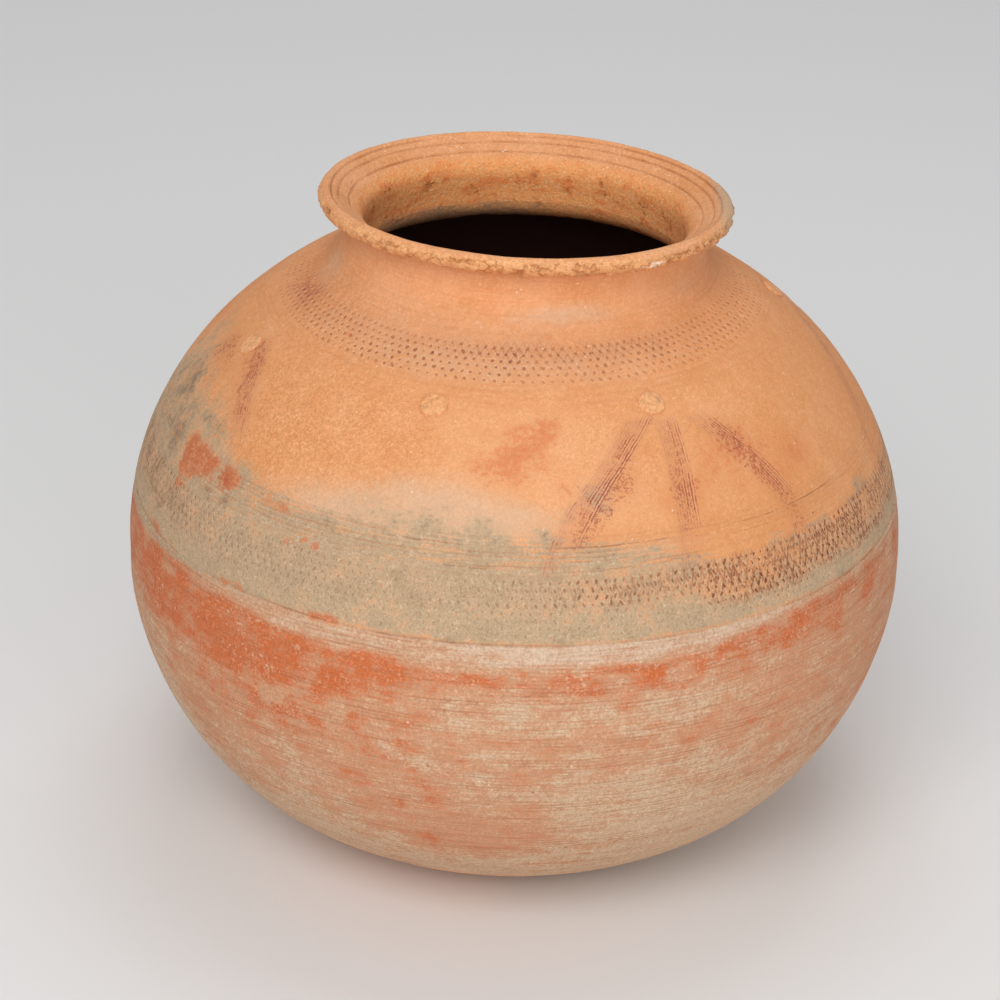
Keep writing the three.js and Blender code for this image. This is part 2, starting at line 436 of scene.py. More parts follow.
# %% Where a vertex lies on the wall
class Skin:
    """Angle from the seen side, height, way up the wall and outward normal of a piece's vertices."""

    def __init__(self, piece):
        self.place = positions(piece)
        x, y, self.z = self.place.T
        self.angle = np.degrees(np.arctan2(x, -y))
        self.up = way_up_at(self.z)
        self.radius = radius_at(self.z)
        reach = np.hypot(x, y)
        middle = (self.radius + inside_radius_at(self.z)) / 2
        self.outer = (reach > middle) | (self.z < FLOOR_THICK / 2)
        out = np.interp(self.z, OUTLINE[:, 1], NORMALS[:, 0])
        self.normal = np.stack([x / np.maximum(reach, 1) * out, y / np.maximum(reach, 1) * out,
                                np.interp(self.z, OUTLINE[:, 1], NORMALS[:, 1])], 1)
        turn = np.radians(self.angle)
        self.ring = np.stack([np.sin(turn), np.cos(turn), np.zeros(len(turn))], 1) * BELLY_R

    def off(self, angle):
        """Degrees round the jar from an angle, the short way."""
        return (self.angle - angle + 180) % 360 - 180

    def part(self, chosen):
        """The same for some of the vertices only."""
        some = object.__new__(Skin)
        for name, values in vars(self).items():
            setattr(some, name, values[chosen])
        return some


print("bowl's outer vertices:", int(Skin(bowl).outer.sum()))

# %% [markdown]
# ## Marks in the wet clay
# The belt and the band under the neck were printed with a small carved roller, which leaves rows of slanted
# pits, each row half a step on from the last. Lines were cut with a comb while the jar turned, and fans of
# combed stripes run down from the pellets. All of these are pressed into the skin as real depth.


# %% Roller, lines and stripes
def roller(skin, first, count, pitch, columns, wide, tall, slant, seed):
    """Staggered rows of pits up the wall: 1 at a pit's middle, 0 at its edge and below 0 outside."""
    step = (skin.up - first) / pitch
    row = np.floor(step)
    column = (skin.angle + 180) / 360 * columns + 0.5 * (row % 2)
    cell = np.floor(column)
    chance = [scatter(seed + number, row, cell % columns) for number in range(5)]
    u = (column - cell - 0.5 + 0.07 * chance[0]) * 2 * math.pi * skin.radius / columns
    v = (step - row - 0.5 + 0.07 * chance[1]) * pitch
    lean = slant * (1 - 2 * (row % 2)) + 0.25 * chance[3]
    across = u * np.cos(lean) + v * np.sin(lean)
    along = v * np.cos(lean) - u * np.sin(lean)
    size = 0.92 + 0.18 * chance[2]
    away = np.hypot(across / (wide * size), along / (tall * size * (1 + 0.25 * chance[4])))
    return np.where((row >= 0) & (row < count), np.maximum(1 - away, -1), -1.0)


def cut_line(skin, height, width, waver, seed):
    """A drawn line from 0 to 1 round the jar, which wavers and fades here and there."""
    ring = skin.ring + np.array([0, 0, seed * 31.0])
    off = skin.z - height - waver * grain(ring, 55, seed)
    fade = smooth(-0.55, 0.15, grain(ring, 38, seed + 1))
    return fade * np.exp(-(off / (width / 2)) ** 2)


def stripe_offset(skin, points):
    """Distance in millimetres from a stripe through three (angle, height) points."""
    (a0, z0), (a1, z1), (a2, z2) = points
    z = skin.z
    one = (z - z1) * (z - z2) / ((z0 - z1) * (z0 - z2))
    two = (z - z0) * (z - z2) / ((z1 - z0) * (z1 - z2))
    three = (z - z0) * (z - z1) / ((z2 - z0) * (z2 - z1))
    middle = a0 * one + a1 * two + a2 * three
    tilt = math.radians((a2 - a0) / (z2 - z0)) * skin.radius * 0.7
    return np.radians(skin.off(0) - middle) * skin.radius / np.sqrt(1 + tilt ** 2)


PELLET_R = 6.2
PELLET_RELIEF = (0.3, 0.8, 0.8, 1, 0.9, 1)
NECK_BASE = LOWER_HEIGHT + BELLY_HEIGHT + SHOULDER_HEIGHT
PELLETS = ((-70, 23.5), (-17, 18.5), (28, 18.5), (101, 15.5), (157, 18), (220, 20))

# Each stripe: its three points, its half width and how deep the comb went
STRIPES = [
    (((25, 268.5), (15.6, 250), (6.6, 213)), 6, 1.0),
    (((29.6, 267), (28.8, 245), (27.4, 212)), 5.5, 0.85),
    (((36, 266), (42.6, 248), (49, 212)), 5.5, 0.65),
    (((-67, 271), (-59.5, 254), (-50, 222)), 5, 0.6),
    (((-72, 264), (-77, 254), (-84, 226)), 5, 0.4),
    (((-19, 268), (-25, 248), (-31, 222)), 4, 0.15),
    (((-16, 268), (-13, 248), (-11, 222)), 4, 0.1),
]
# Brushed paint: angle, height, half width in degrees, half height and strength
PAINT_SPOTS = [
    (24, 266, 2.6, 4, 0.5), (20.5, 260.5, 3, 5, 0.65), (18.4, 255, 2.8, 5, 0.65), (17.6, 249, 2.6, 6, 0.6),
    (16.4, 243, 3, 6, 0.8), (13, 238, 3.4, 7, 0.75), (11.6, 231, 3, 6, 0.75), (9.4, 226, 2.6, 5, 0.6),
    (7, 219, 1.6, 7, 0.4), (20, 247, 1.8, 8, 0.3),
    (30.6, 262, 1.6, 5, 0.55), (29.6, 256, 2.2, 6, 0.55), (29, 249, 2.6, 6, 0.6), (28.8, 241, 2.8, 6, 0.75),
    (28.4, 233, 2.4, 6, 0.55), (27.9, 225, 2.4, 6, 0.5), (27.4, 216, 2.4, 6, 0.45), (26.6, 243, 1.4, 5, 0.4),
    (38.5, 262, 2.2, 3, 0.55), (40.4, 258, 2.4, 4, 0.8), (41.4, 252.5, 3, 5, 1.05),
    (43.2, 246.5, 2.6, 5, 0.9), (44.6, 240, 2.4, 5, 0.8), (46, 233, 2.2, 5, 0.75),
    (47.4, 226.5, 2.2, 5, 0.85), (48.6, 219, 2.2, 5, 0.75), (48.8, 213, 2.2, 4, 0.6),
    (-66, 269, 3.6, 4, 0.95), (-63.5, 264, 4, 5, 1.05), (-60.5, 257, 3.4, 6, 1.05),
    (-57.5, 249.5, 3.2, 5, 1.1), (-54.6, 244, 2.4, 4.5, 0.5), (-71, 257, 4, 5, 0.7),
    (-76, 262, 4, 4.5, 1.0), (-79, 256, 4, 4, 0.8), (-51.8, 223, 2.2, 5, 1.3),
    (-68.6, 217, 1.2, 3, 0.7), (-50, 214, 2.5, 3, 0.35),
]
# The fans of the unseen side, with three stripes each
for pellet_angle in (101, 157, -140):
    for spread, foot_spread, stained in ((-2, -21, 0.8), (0.3, -1, 0.6), (3, 19, 0.9)):
        head = pellet_angle + spread
        knee = pellet_angle + 0.66 * foot_spread
        foot = pellet_angle + foot_spread
        STRIPES.append((((head, 268), (knee, 248), (foot, 213)), 5, 0.9))
        for height in (262, 253, 244, 234):
            middle = np.interp(height, (215, 248, 268), (foot, knee, head))
            strength = stained * (0.6 + 0.25 * math.sin(height + pellet_angle))
            PAINT_SPOTS.append((middle, height, 2.4, 6, strength))
print("stripes:", len(STRIPES), "with", len(PAINT_SPOTS), "touches of paint")

# %% [markdown]
# ## Where the colours lie
# The belt and the left shoulder wear a grey-buff patina, the lower wall a red slip that is rubbed off in
# streaks, and the shoulder is bare orange clay with a few redder smudges. These fields are soft: each is a
# number at every vertex, and the finish breaks it up with fine noise. The unseen back goes on in the same
# way.


# %% Fields of colour
def spot(skin, angle, height, wide, tall):
    """A soft round field about an (angle, height), wide in degrees and tall in millimetres."""
    return np.exp(-(skin.off(angle) / wide) ** 2 - ((skin.z - height) / tall) ** 2)


def spots(skin, listed, most=1):
    """Soft spots added up, each given by its angle, height, width, tallness and strength."""
    return np.clip(sum(strength * spot(skin, *where) for *where, strength in listed), 0, most)


def front(skin):
    """1 on the side that is seen, 0 on the back."""
    return 1 - smooth(80, 110, np.abs(skin.angle))


def with_back(skin, field, low, high, size, seed, strength):
    """A field of the seen side, with lumps of noise for the same thing on the back."""
    lumps = smooth(low, high, grain(skin.place, size, seed))
    return np.clip(field + (1 - front(skin)) * lumps * strength, 0, 1)


def patina_field(skin):
    """Grey-buff dust over the belt, up to an edge that climbs on the left."""
    seen = np.interp(skin.angle, (-90, -80, -70, -60, -55, -50, -40, -20, -10, 0, 8, 15, 25, 35, 90),
                     (276, 264, 252, 246, 242, 234, 230, 234, 237, 234, 230, 225, 217, 213, 213))
    unseen = 222 + 16 * grain(skin.ring, 120, 41)
    top = unseen + (seen - unseen) * front(skin)
    top = top + 4 * grain(skin.place, 14, 42) + 2 * grain(skin.place, 5, 43)
    soft = np.interp(skin.angle, (-130, -85, -60, -45, -20, 0, 20, 40, 75, 115),
                     (16, 26, 22, 14, 18, 16, 9, 6, 8, 16))
    over = smooth(0, 1, (top - skin.z) / soft + 0.3)
    thin = np.interp(skin.angle, (-90, -60, -30, -5, 12, 28, 40, 48, 70, 95),
                     (0.9, 0.9, 0.95, 0.92, 0.88, 0.71, 0.58, 0.68, 0.64, 0.8))
    thin = thin * np.interp(skin.z, (212, 222, 250), (1, 0.84, 0.68))
    thin = thin + (0.9 - thin) * smooth(200, 190, skin.z + 3 * grain(skin.place, 9, 44))
    edge = np.interp(skin.angle, (-80, -60, -45, -20), (174, 176, 179, 181))
    over = np.maximum(over * thin, spots(skin, ((13.2, 241, 3, 7, 0.62), (9, 231, 3, 5, 0.45))))
    return over * smooth(edge - 1, edge + 3, skin.z)


def grime_field(skin):
    """Darker, greyer dirt in the patina of the left side."""
    field = spots(skin, (
        (-70.5, 222, 2.5, 9, 0.8), (-60, 238, 7, 5, 0.5), (-52, 236, 3, 6, 0.4), (-51, 214, 5, 5, 0.5),
        (-66, 199, 9, 9, 0.5), (-78, 240, 9, 14, 0.65), (-44, 226, 5, 3, 0.3), (-84, 205, 8, 22, 0.5)))
    return with_back(skin, field, 0, 0.8, 28, 74, 0.8)


def slip_field(skin):
    """Red slip: a band under the belt, and what is left of it lower down."""
    z = skin.z
    upper_edge = np.interp(skin.angle, (-90, -75, -60, -45, -35, -20, 0, 15, 25, 40, 60, 80),
                           (182, 180, 177, 174, 171, 169, 168.5, 170, 173, 177, 178, 179))
    lower_edge = np.interp(skin.angle, (-80, -62, -45, -22, -12, 0, 12, 20, 30, 45, 62, 80),
                           (148, 140, 136, 144, 155, 158, 157, 158, 162, 163, 160, 150))
    core = smooth(-6, 4, upper_edge - z) * smooth(-14, 8, z - lower_edge)
    strength = np.interp(skin.angle, (-85, -60, -25, -12, 0, 10, 20, 50, 62, 85),
                         (0.8, 1, 1, 0.75, 0.65, 0.85, 0.85, 0.85, 0.65, 0.6))
    seen = np.maximum(core * strength, spots(skin, (
        (-38, 128, 26, 22, 0.72), (-14, 95, 7, 40, 0.42), (-2, 68, 11, 16, 0.42),
        (40, 128, 8, 20, 0.36), (72, 130, 18, 60, 0.45), (18, 130, 10, 16, 0.25))))
    unseen = smooth(135, 160, z) * smooth(177, 170, z) * (0.7 + 0.4 * grain(skin.ring, 90, 51))
    unseen = np.maximum(unseen, 0.45 + 0.4 * grain(skin.place, 60, 52))
    field = unseen + (seen - unseen) * front(skin)
    return field * smooth(182, 178, z)


def blush_field(skin):
    """Pink against buff on the rubbed lower wall."""
    field = 0.45 + 0.4 * grain(skin.place, 38, 61)
    field = field + spots(skin, (
        (-40, 110, 25, 45, 0.4), (-8, 66, 12, 16, 0.9), (5, 125, 6, 28, 0.3), (25, 128, 5, 9, 0.4),
        (44, 130, 6, 24, 0.4), (60, 130, 12, 50, 0.4)))
    field = field - spots(skin, (
        (13, 100, 6, 30, 0.6), (26, 78, 8, 18, 0.7), (1, 146, 8, 12, 0.5), (38, 62, 12, 22, 0.7),
        (2, 60, 3, 10, 0.5), (-64, 105, 7, 45, 0.6), (-40, 55, 14, 16, 0.5), (-15, 100, 3, 26, 0.4)))
    zone = np.interp(skin.angle, (-70, -45, -15, 5, 60, 90), (0.0, 0.1, 0.3, 0.45, 0.4, 0.3))
    return field - zone * smooth(163, 174, skin.z) - 0.8 * smooth(78, 35, skin.z)


def sole_field(skin):
    """Bare orange clay along the foot, where the slip stops."""
    bare = smooth(46, 12, skin.z + 7 * grain(skin.place, 25, 76))
    return bare * (0.35 + 0.65 * spots(skin, ((-30, 20, 40, 60, 1),)))


def red_field(skin):
    """Redder smudges on the shoulder."""
    field = spots(skin, (
        (2, 260, 7, 10, 0.85), (-3, 250, 6, 8, 0.6), (6, 268, 4, 5, 0.6), (9, 244, 6, 6, 0.5),
        (42, 250, 7, 10, 0.7), (53, 242, 8, 9, 0.7), (36, 246, 6, 8, 0.4), (46, 232, 8, 8, 0.3),
        (28, 238, 5, 12, 0.35), (-46, 286, 4, 3, 0.5), (-40, 262, 8, 8, 0.3), (-62, 262, 10, 12, 0.25)))
    return with_back(skin, field, 0.2, 0.8, 30, 71, 0.7)


def warm_field(skin):
    """Warmer, darker orange towards both sides of the shoulder from the seen front, and less of it on the
    back.
    """
    sides = np.interp(np.abs(skin.angle + 3), (8, 42, 90, 140), (0, 1, 1, 0.3))
    return sides * smooth(305, 285, skin.z)


def pale_field(skin):
    """Pale bloom over the patina's edge, along the band and by the neck."""
    field = spots(skin, (
        (-14, 240, 14, 10, 0.8), (-2, 232, 12, 8, 0.7), (-30, 232, 12, 7, 0.5), (-24, 226, 20, 6, 0.6),
        (14, 303, 16, 5, 0.6), (-20, 300, 40, 8, 0.25), (-78, 300, 9, 8, 0.6), (60, 304, 8, 6, 0.5),
        (-10, 287, 80, 9, 0.5), (19, 219, 13, 6, 0.55)))
    return with_back(skin, field, 0.1, 0.8, 45, 72, 0.6)


def coarse_field(skin):
    """Where the skin has weathered down to its grain."""
    field = spots(skin, (
        (-45, 256, 18, 22, 1), (-62, 290, 20, 12, 0.6), (-25, 262, 10, 14, 0.5), (44, 250, 9, 14, 0.5),
        (22, 256, 9, 14, 0.5), (2, 258, 11, 14, 0.4)))
    return with_back(skin, field, -0.2, 0.7, 50, 75, 0.8)


# Each flaked patch by its (angle, height) corners
FLAKED = (
    ((-68, 214), (-60.8, 212), (-55, 217.5), (-54.6, 228), (-59.5, 231), (-66.5, 233), (-66, 225)),
    ((-52.5, 219), (-49, 218), (-48, 227.5), (-52.8, 228), (-53.6, 222.5)),
    ((-36.2, 208), (-33.8, 209), (-32.5, 213), (-35.5, 212)),
    ((-31.5, 210), (-29.5, 210), (-30, 212), (-31.2, 212)),
    ((-42, 222), (-37, 222.5), (-37.5, 224.5), (-41.5, 224)),
    ((-63.5, 208), (-60.5, 208.4), (-60.5, 209.8), (-63.5, 209.4)),
    ((-47.5, 180.5), (-41, 181.5), (-42, 184), (-46, 183)),
    ((-32, 180), (-24.5, 181), (-25, 184), (-30.5, 183.5)),
    ((-71, 181), (-58, 181), (-60, 184), (-70, 185)),
)


def flake(skin, corners):
    """A patch with a ragged edge between (angle, height) corners, which go round it to the left."""
    depth_in = np.full(len(skin.z), 9.0)
    ragged = 2.2 * grain(skin.place, 9, 77) + 1.6 * grain(skin.place, 4, 78)
    for (angle, height), (next_angle, next_height) in zip(corners, corners[1:] + corners[:1]):
        u = np.radians(skin.off(angle)) * skin.radius
        v = skin.up - way_up_at(height)
        du = math.radians(next_angle - angle) * skin.radius
        dv = way_up_at(next_height) - way_up_at(height)
        depth_in = np.minimum(depth_in, (du * v - dv * u) / np.hypot(du, dv))
    return smooth(-5, 5, depth_in + ragged)


def bare_field(skin):
    """Patches where the patina has flaked off down to red clay."""
    field = np.maximum.reduce([flake(skin, corners) for corners in FLAKED])
    torn_off = grain(skin.place, 34, 73) + 0.45 * grain(skin.place, 9, 79) + 0.25 * grain(skin.place, 4, 80)
    unseen = smooth(0.5, 0.9, torn_off) * smooth(240, 225, skin.z) * smooth(183, 190, skin.z)
    return np.clip(field * front(skin) + (1 - front(skin)) * unseen, 0, 1)


print("patina on the belt, mean:", round(float(patina_field(Skin(belt)).mean()), 2))

# %% [markdown]
# ## Pressing the marks in
# Each piece now gets all of its marks: its outer vertices move in along the wall's normal by the summed
# depth. The same functions run for every piece, so a mark that crosses a seam stays in line. The amounts are
# kept as attributes, and the finishes read them to put paint into the pits and painted shade into the grooves.

# %% Depth of every mark
ROLLER_DEPTH = 0.85
LINE_DEPTH = 0.55
STRIPE_DEPTH = 0.3
BELT_PITCH, BELT_COLUMNS, BELT_ROWS = 3.5, 266, 8
BAND_PITCH, BAND_COLUMNS, BAND_ROWS = 3.86, 162, 6
BELT_START = way_up_at(184)
BAND_START = way_up_at(BAND_LOW) + 1.1


def belt_paint_at(skin):
    """How much dark paint is left in the belt's pits."""
    seen = np.interp(skin.angle, (-90, -76, -62, -48, -5, 4, 13, 20, 26, 30, 72, 88),
                     (0.5, 0.75, 0.5, 0.2, 0.12, 0.3, 0.75, 0.6, 0.65, 1, 1.1, 1))
    unseen = 0.6 + 0.5 * grain(skin.ring, 80, 22)
    low_edge = np.interp(skin.angle, (-90, -20, 10, 24, 31, 90), (190, 194, 198, 199, 191, 190))
    low_edge = low_edge + 4 * grain(skin.place, 12, 23)
    return (unseen + (seen - unseen) * front(skin)) * smooth(low_edge - 4, low_edge + 4, skin.z)


def print_roller(skin, cut):
    """The wide belt of slanted pits and the narrow band of round ones, with the paint that they hold."""
    wear = smooth(-0.75, 0.0, grain(skin.place, 26, 11))
    left_paint = belt_paint_at(skin)
    belt_pits = roller(skin, BELT_START, BELT_ROWS, BELT_PITCH, BELT_COLUMNS,
                       wide=0.68, tall=1.5, slant=0.42, seed=21)
    band_pits = roller(skin, BAND_START, BAND_ROWS, BAND_PITCH, BAND_COLUMNS,
                       wide=0.98, tall=1.28, slant=0.55, seed=31)
    band_fade = np.interp(skin.up - BAND_START, (0, 5, 11, 19, 23), (0.6, 0.85, 1, 0.85, 0.45))
    belt_deep = (0.4 + 0.6 * wear) * (0.3 + 0.7 * left_paint)
    cut += ROLLER_DEPTH * np.maximum(belt_deep * smooth(-0.3, 0.9, belt_pits),
                                     band_fade * (0.4 + 0.35 * wear) * smooth(-0.3, 0.9, band_pits))
    seen = np.interp(skin.angle, (-75, -52, -35, -10, 10, 40, 75), (0.6, 1, 1, 0.95, 0.75, 0.8, 0.7))
    left_in_band = 0.75 + (seen - 0.75) * front(skin)
    band_paint = 0.8 * band_fade * left_in_band * (0.85 + 0.3 * grain(skin.place, 9, 32))
    paint = np.where(skin.z > BELT_HIGH, band_paint, left_paint * (0.4 + 0.6 * wear))
    return np.maximum(belt_pits, band_pits), paint


def cut_lines(skin, cut):
    """Combed lines over the belt, the line under it and the turning marks by the neck."""
    lines = [(BELT_HIGH - step * 2.5, 1.1, 0.8, 0.4) for step in range(5)] + [(BELT_LOW, 1.3, 0.15, 1.2)]
    lines += [(height, 1.1, 0.5, 0.4) for height in (178.6, 176.4, 174.1, 172.2)]
    lines += [(height, 0.8, 0.5, 0.3) for height in (279.4, 278.2, 276.7, 275.6, 274, 296, 299.5, 302.5)]
    for number, (height, width, waver, deep) in enumerate(lines):
        near = np.abs(skin.z - height) < 4
        if near.any():
            cut[near] += LINE_DEPTH * deep * cut_line(skin.part(near), height, width, waver, 100 + 3 * number)


def comb_stripes(skin, cut):
    """The fans: for each vertex how far off its stripe's middle it lies and how much it is combed."""
    combing, offset = np.zeros(len(skin.z)), np.full(len(skin.z), 9.0)
    for points, half, deep in STRIPES:
        top, foot = points[0][1], points[2][1]
        near = (skin.z < top + 1) & (skin.z > foot - 3)
        near[near] = np.abs(stripe_offset(skin.part(near), points)) < half + 4
        if not near.any():
            continue
        part = skin.part(near)
        off = stripe_offset(part, points)
        reach = smooth(foot - 3, foot + 1, part.z) * smooth(top + 1, top - 2, part.z)
        lifted = smooth(foot + 20, foot + 10, part.z) * smooth(-0.6 * half, -0.1 * half, off)
        share = deep * reach * smooth(half + 1.5, half - 1, np.abs(off)) * (1 - 0.8 * lifted)
        cut[near] += STRIPE_DEPTH * share * (share > combing[near])
        closer = np.abs(off) < np.abs(offset[near])
        combing[near] = np.where(closer, share, combing[near])
        offset[near] = np.where(closer, off, offset[near])
    return combing, offset


def brushed_paint(skin):
    """Paint brushed over the fans, and smears of it by the band."""
    paint = np.zeros(len(skin.z))
    near = (skin.z > 205) & (skin.z < 275)
    if near.any():
        paint[near] = 1 - np.exp(-1.4 * spots(skin.part(near), PAINT_SPOTS, 9))
    smear = spots(skin, (
        (-76, 287, 11, 6, 1.0), (-38, 288, 20, 4, 0.35), (2, 290.5, 14, 2.2, 0.4), (28, 288, 16, 3.5, 0.4),
        (50, 288, 14, 4, 0.45), (80, 288, 14, 5, 0.6)))
    return np.maximum(paint, smear * (0.5 + 0.5 * smooth(-0.4, 0.5, grain(skin.place, 14, 33))))


def stroke_field(skin):
    """Where the roller's ridges have torn, so that strokes join the pits."""
    on_belt = belt_paint_at(skin) * smooth(184, 190, skin.z) * smooth(213, 208, skin.z)
    on_band = spots(skin, ((0, 290, 20, 3.2, 0.55), (32, 289, 12, 3, 0.4), (-72, 288, 12, 5, 0.7)))
    unseen = 0.6 * smooth(0, 0.6, grain(skin.ring, 60, 34)) * smooth(280, 286, skin.z)
    on_band = (on_band + (1 - front(skin)) * unseen) * smooth(296, 294, skin.z)
    return np.where(skin.z > BELT_HIGH, on_band, on_belt)


def body_marks(skin):
    """Depth in millimetres, and the fields that go with it."""
    place = skin.place
    depth = 0.5 * grain(place, 75, 1) + 0.16 * grain(place, 18, 2) + 0.07 * grain(place, 5, 3)
    pressed, cut = np.zeros(len(place)), np.zeros(len(place))
    pits, pit_paint = print_roller(skin, pressed)
    cut_lines(skin, cut)
    combing, offset = comb_stripes(skin, pressed)
    for (angle, drop), relief in zip(PELLETS, PELLET_RELIEF):
        side = np.radians(skin.off(angle)) * skin.radius
        gap = np.hypot(side, skin.up - way_up_at(NECK_BASE - drop)) - PELLET_R - 0.5
        cut += 0.4 * relief * np.exp(-(gap / 0.7) ** 2)
    recess = np.clip((cut + 0.15 * pressed) / 0.7, 0, 1)
    belt_rows = (skin.up - BELT_START) / BELT_PITCH
    band_rows = (skin.up - BAND_START) / BAND_PITCH
    rows_up = np.where(skin.z > BELT_HIGH, band_rows, belt_rows)
    fields = {"recess": recess, "pit": pits, "pit_paint": pit_paint, "comb": combing, "offset": offset,
              "paint": brushed_paint(skin), "stroke": stroke_field(skin), "row": rows_up}
    return depth + cut + pressed, fields


def keep(piece, name, values):
    """Stores one number a vertex, for the finish to read."""
    layer = piece.data.attributes.new(name, "FLOAT", "POINT")
    layer.data.foreach_set("value", values.astype(np.float32))


def press_marks(piece):
    """Moves the outer wall in and keeps all fields. Gives the depth in millimetres."""
    skin = Skin(piece)
    depth, fields = body_marks(skin)
    hold = skin.outer * smooth(0.5, 12, skin.z) * smooth(NECK_TOP, NECK_TOP - 5, skin.z)
    move_to(piece, skin.place - skin.normal * (depth * hold)[:, None])
    z = skin.z
    combed = smooth(210, 214, z) * smooth(230, 226, z) + smooth(170, 173, z) * smooth(182, 180, z)
    turned = smooth(271, 274, z) * smooth(283, 280, z) + smooth(293, 297, z)
    fields |= {"patina": patina_field(skin), "slip": slip_field(skin), "blush": blush_field(skin),
               "red": red_field(skin), "warm": warm_field(skin), "pale": pale_field(skin),
               "bare": bare_field(skin), "grime": grime_field(skin), "sole": sole_field(skin),
               "coarse": coarse_field(skin), "low": smooth(183, 180.5, z), "combed": combed, "turned": turned}
    for name, values in fields.items():
        keep(piece, name, np.where(skin.outer, values, -1 if name == "pit" else 0))
    inner = np.where(skin.outer, 0.0, 1.0)
    keep(piece, "inner", inner)
    # Soot and painted shade inside, from the neck's joint downwards.
    keep(piece, "soot", inner * smooth(292, 279, z))
    keep(piece, "ash", inner * smooth(303, 290, z) * smooth(60, -40, skin.place[:, 0]))
    return depth * hold


for piece in (bowl, belt, shoulder, neck):
    moved = press_marks(piece)
    print(piece.name, "moved in by up to", round(float(moved.max()), 2), "mm")

# %% [markdown]
# ## The worn lip
# Hands, dippers and other pots have knocked the lip for years. Its front edge has flaked below the brow, so
# that rough clay shows there, and the upper face has kept its three turned grooves. The flakes are noise with
# a threshold, pressed in along the mesh's own normals. Then the neck and the lip lean over together.

# %% Lip's flakes and grooves
FLAKE_DEPTH = 2.1
GROOVE_DEPTH = 0.5


def normals(piece):
    flat = np.empty(len(piece.data.vertices) * 3, np.float32)
    piece.data.vertices.foreach_get("normal", flat)
    return flat.reshape(-1, 3).astype(float)


def facets(place, size, seed):
    """Broken facets of about the size, each with its own depth and tilt, and 1 on the cracks between them."""
    cell = np.floor(place / size)
    nearest, second = np.full(len(place), 9.0), np.full(len(place), 9.0)
    level = np.zeros(len(place))
    for step in np.ndindex(3, 3, 3):
        near = cell + np.array(step) - 1
        chance = [scatter(seed + number, *near.T) for number in range(7)]
        off = place / size - near - 0.5 - 0.42 * np.stack(chance[:3], 1)
        away = np.linalg.norm(off, axis=1)
        closer = away < nearest
        second = np.where(closer, nearest, np.minimum(second, away))
        level = np.where(closer, chance[3] + 1.1 * (off * np.stack(chance[4:], 1)).sum(1), level)
        nearest = np.minimum(nearest, away)
    return level, smooth(0.16, 0.0, second - nearest)


def wear_lip(piece):
    """Flakes the lip's edge, cuts its grooves and keeps where they lie. Gives the depth in millimetres."""
    place = positions(piece)
    x, y, z = place.T
    reach = np.hypot(x, y)
    angle = np.degrees(np.arctan2(x, -y))
    edge_turn = np.degrees(np.arctan2(z - edge_z, reach - edge_r))
    edge = smooth(edge_r - 1.5, edge_r + 0.8, reach)
    flaky = np.interp(angle, (-180, -110, -60, -40, 25, 45, 70, 110, 180),
                      (0.3, 0.5, 0.65, 1, 1, 0.8, 0.8, 0.6, 0.3))
    brow_line = edge_turn + 22 * grain(place, 12, 310) + 10 * grain(place, 4, 316)
    zone = edge * smooth(-100, -65, edge_turn) * smooth(62, 34, brow_line)
    rough = grain(place, 11, 311) + 0.7 * grain(place, 5, 312) + 0.4 * grain(place, 2.4, 313)
    flaked = zone * smooth(0.3, 0.55, flaky * 0.95 + 0.4 * rough)
    big, big_crack = facets(place * np.array([1, 1, 1.6]), 9.5, 340)
    small, small_crack = facets(place * np.array([1, 1, 1.4]), 3.4, 350)
    depth = 0.3 * grain(place, 34, 301) + 0.12 * grain(place, 9, 302) + 0.06 * grain(place, 3, 303)
    chipped = 0.4 + 0.24 * big + 0.2 * small + 0.12 * big_crack + 0.12 * grain(place, 2, 315)
    depth = depth + FLAKE_DEPTH * flaked * chipped
    groove = np.zeros(len(place))
    for line, inset in enumerate(GROOVE_INSETS):
        ring = np.stack([x, y, np.full(len(x), 50.0 * line)], 1)
        off = edge_r - reach - inset * math.cos(face_slope) - 0.35 * grain(ring, 40, 320 + line)
        groove += np.exp(-(off / 0.55) ** 2) * smooth(-0.7, 0.0, grain(ring, 30, 330 + line))
    upper = (z > edge_z - 1) | (reach < edge_r - 8)
    groove = groove * upper * smooth(NECK_TOP + 1, NECK_TOP + 3, z)
    hold = smooth(NECK_TOP + 0.2, NECK_TOP + 2.5, z)
    depth = (depth + GROOVE_DEPTH * groove) * hold
    move_to(piece, place - normals(piece) * depth[:, None])
    hollow = 0.4 + 0.35 * big + 0.35 * small + 0.4 * big_crack + 0.4 * small_crack
    keep(piece, "chip", flaked)
    keep(piece, "hollow", flaked * np.clip(hollow, 0, 1))
    keep(piece, "groove", smooth(0.02, 0.3, groove))
    keep(piece, "inset", (edge_r - reach) / math.cos(face_slope))
    grey = np.exp(-(((angle - 90) / 26) ** 2)) * smooth(edge_r - 8, edge_r + 1, reach)
    white = np.exp(-((angle - 37) / 7) ** 2) * edge * smooth(25, -5, edge_turn) * smooth(-70, -30, edge_turn)
    keep(piece, "grey", grey)
    keep(piece, "white", white)
    # Where the edge turns under; the finish paints shade there.
    keep(piece, "under", edge * smooth(42, -28, edge_turn))
    keep(piece, "inner", smooth(face_end_r + 2, mouth_r + 1, reach))
    return depth


worn = wear_lip(lip)
print("lip worn by up to", round(float(worn.max()), 2), "mm")

# %% Lean of the top
LEAN_RIGHT = math.tan(math.radians(1.3))
LEAN_BACK = math.tan(math.radians(1.8))
SHIFT_RIGHT = 1.2

for piece in (neck, lip):
    place = positions(piece)
    share = smooth(COLLAR_LOW, NECK_TOP, place[:, 2])
    place[:, 2] -= share * (LEAN_RIGHT * place[:, 0] + LEAN_BACK * place[:, 1])
    place[:, 0] += share * SHIFT_RIGHT
    move_to(piece, place)
print("lip's top now at", round(float(positions(lip)[:, 2].max()), 1), "mm")

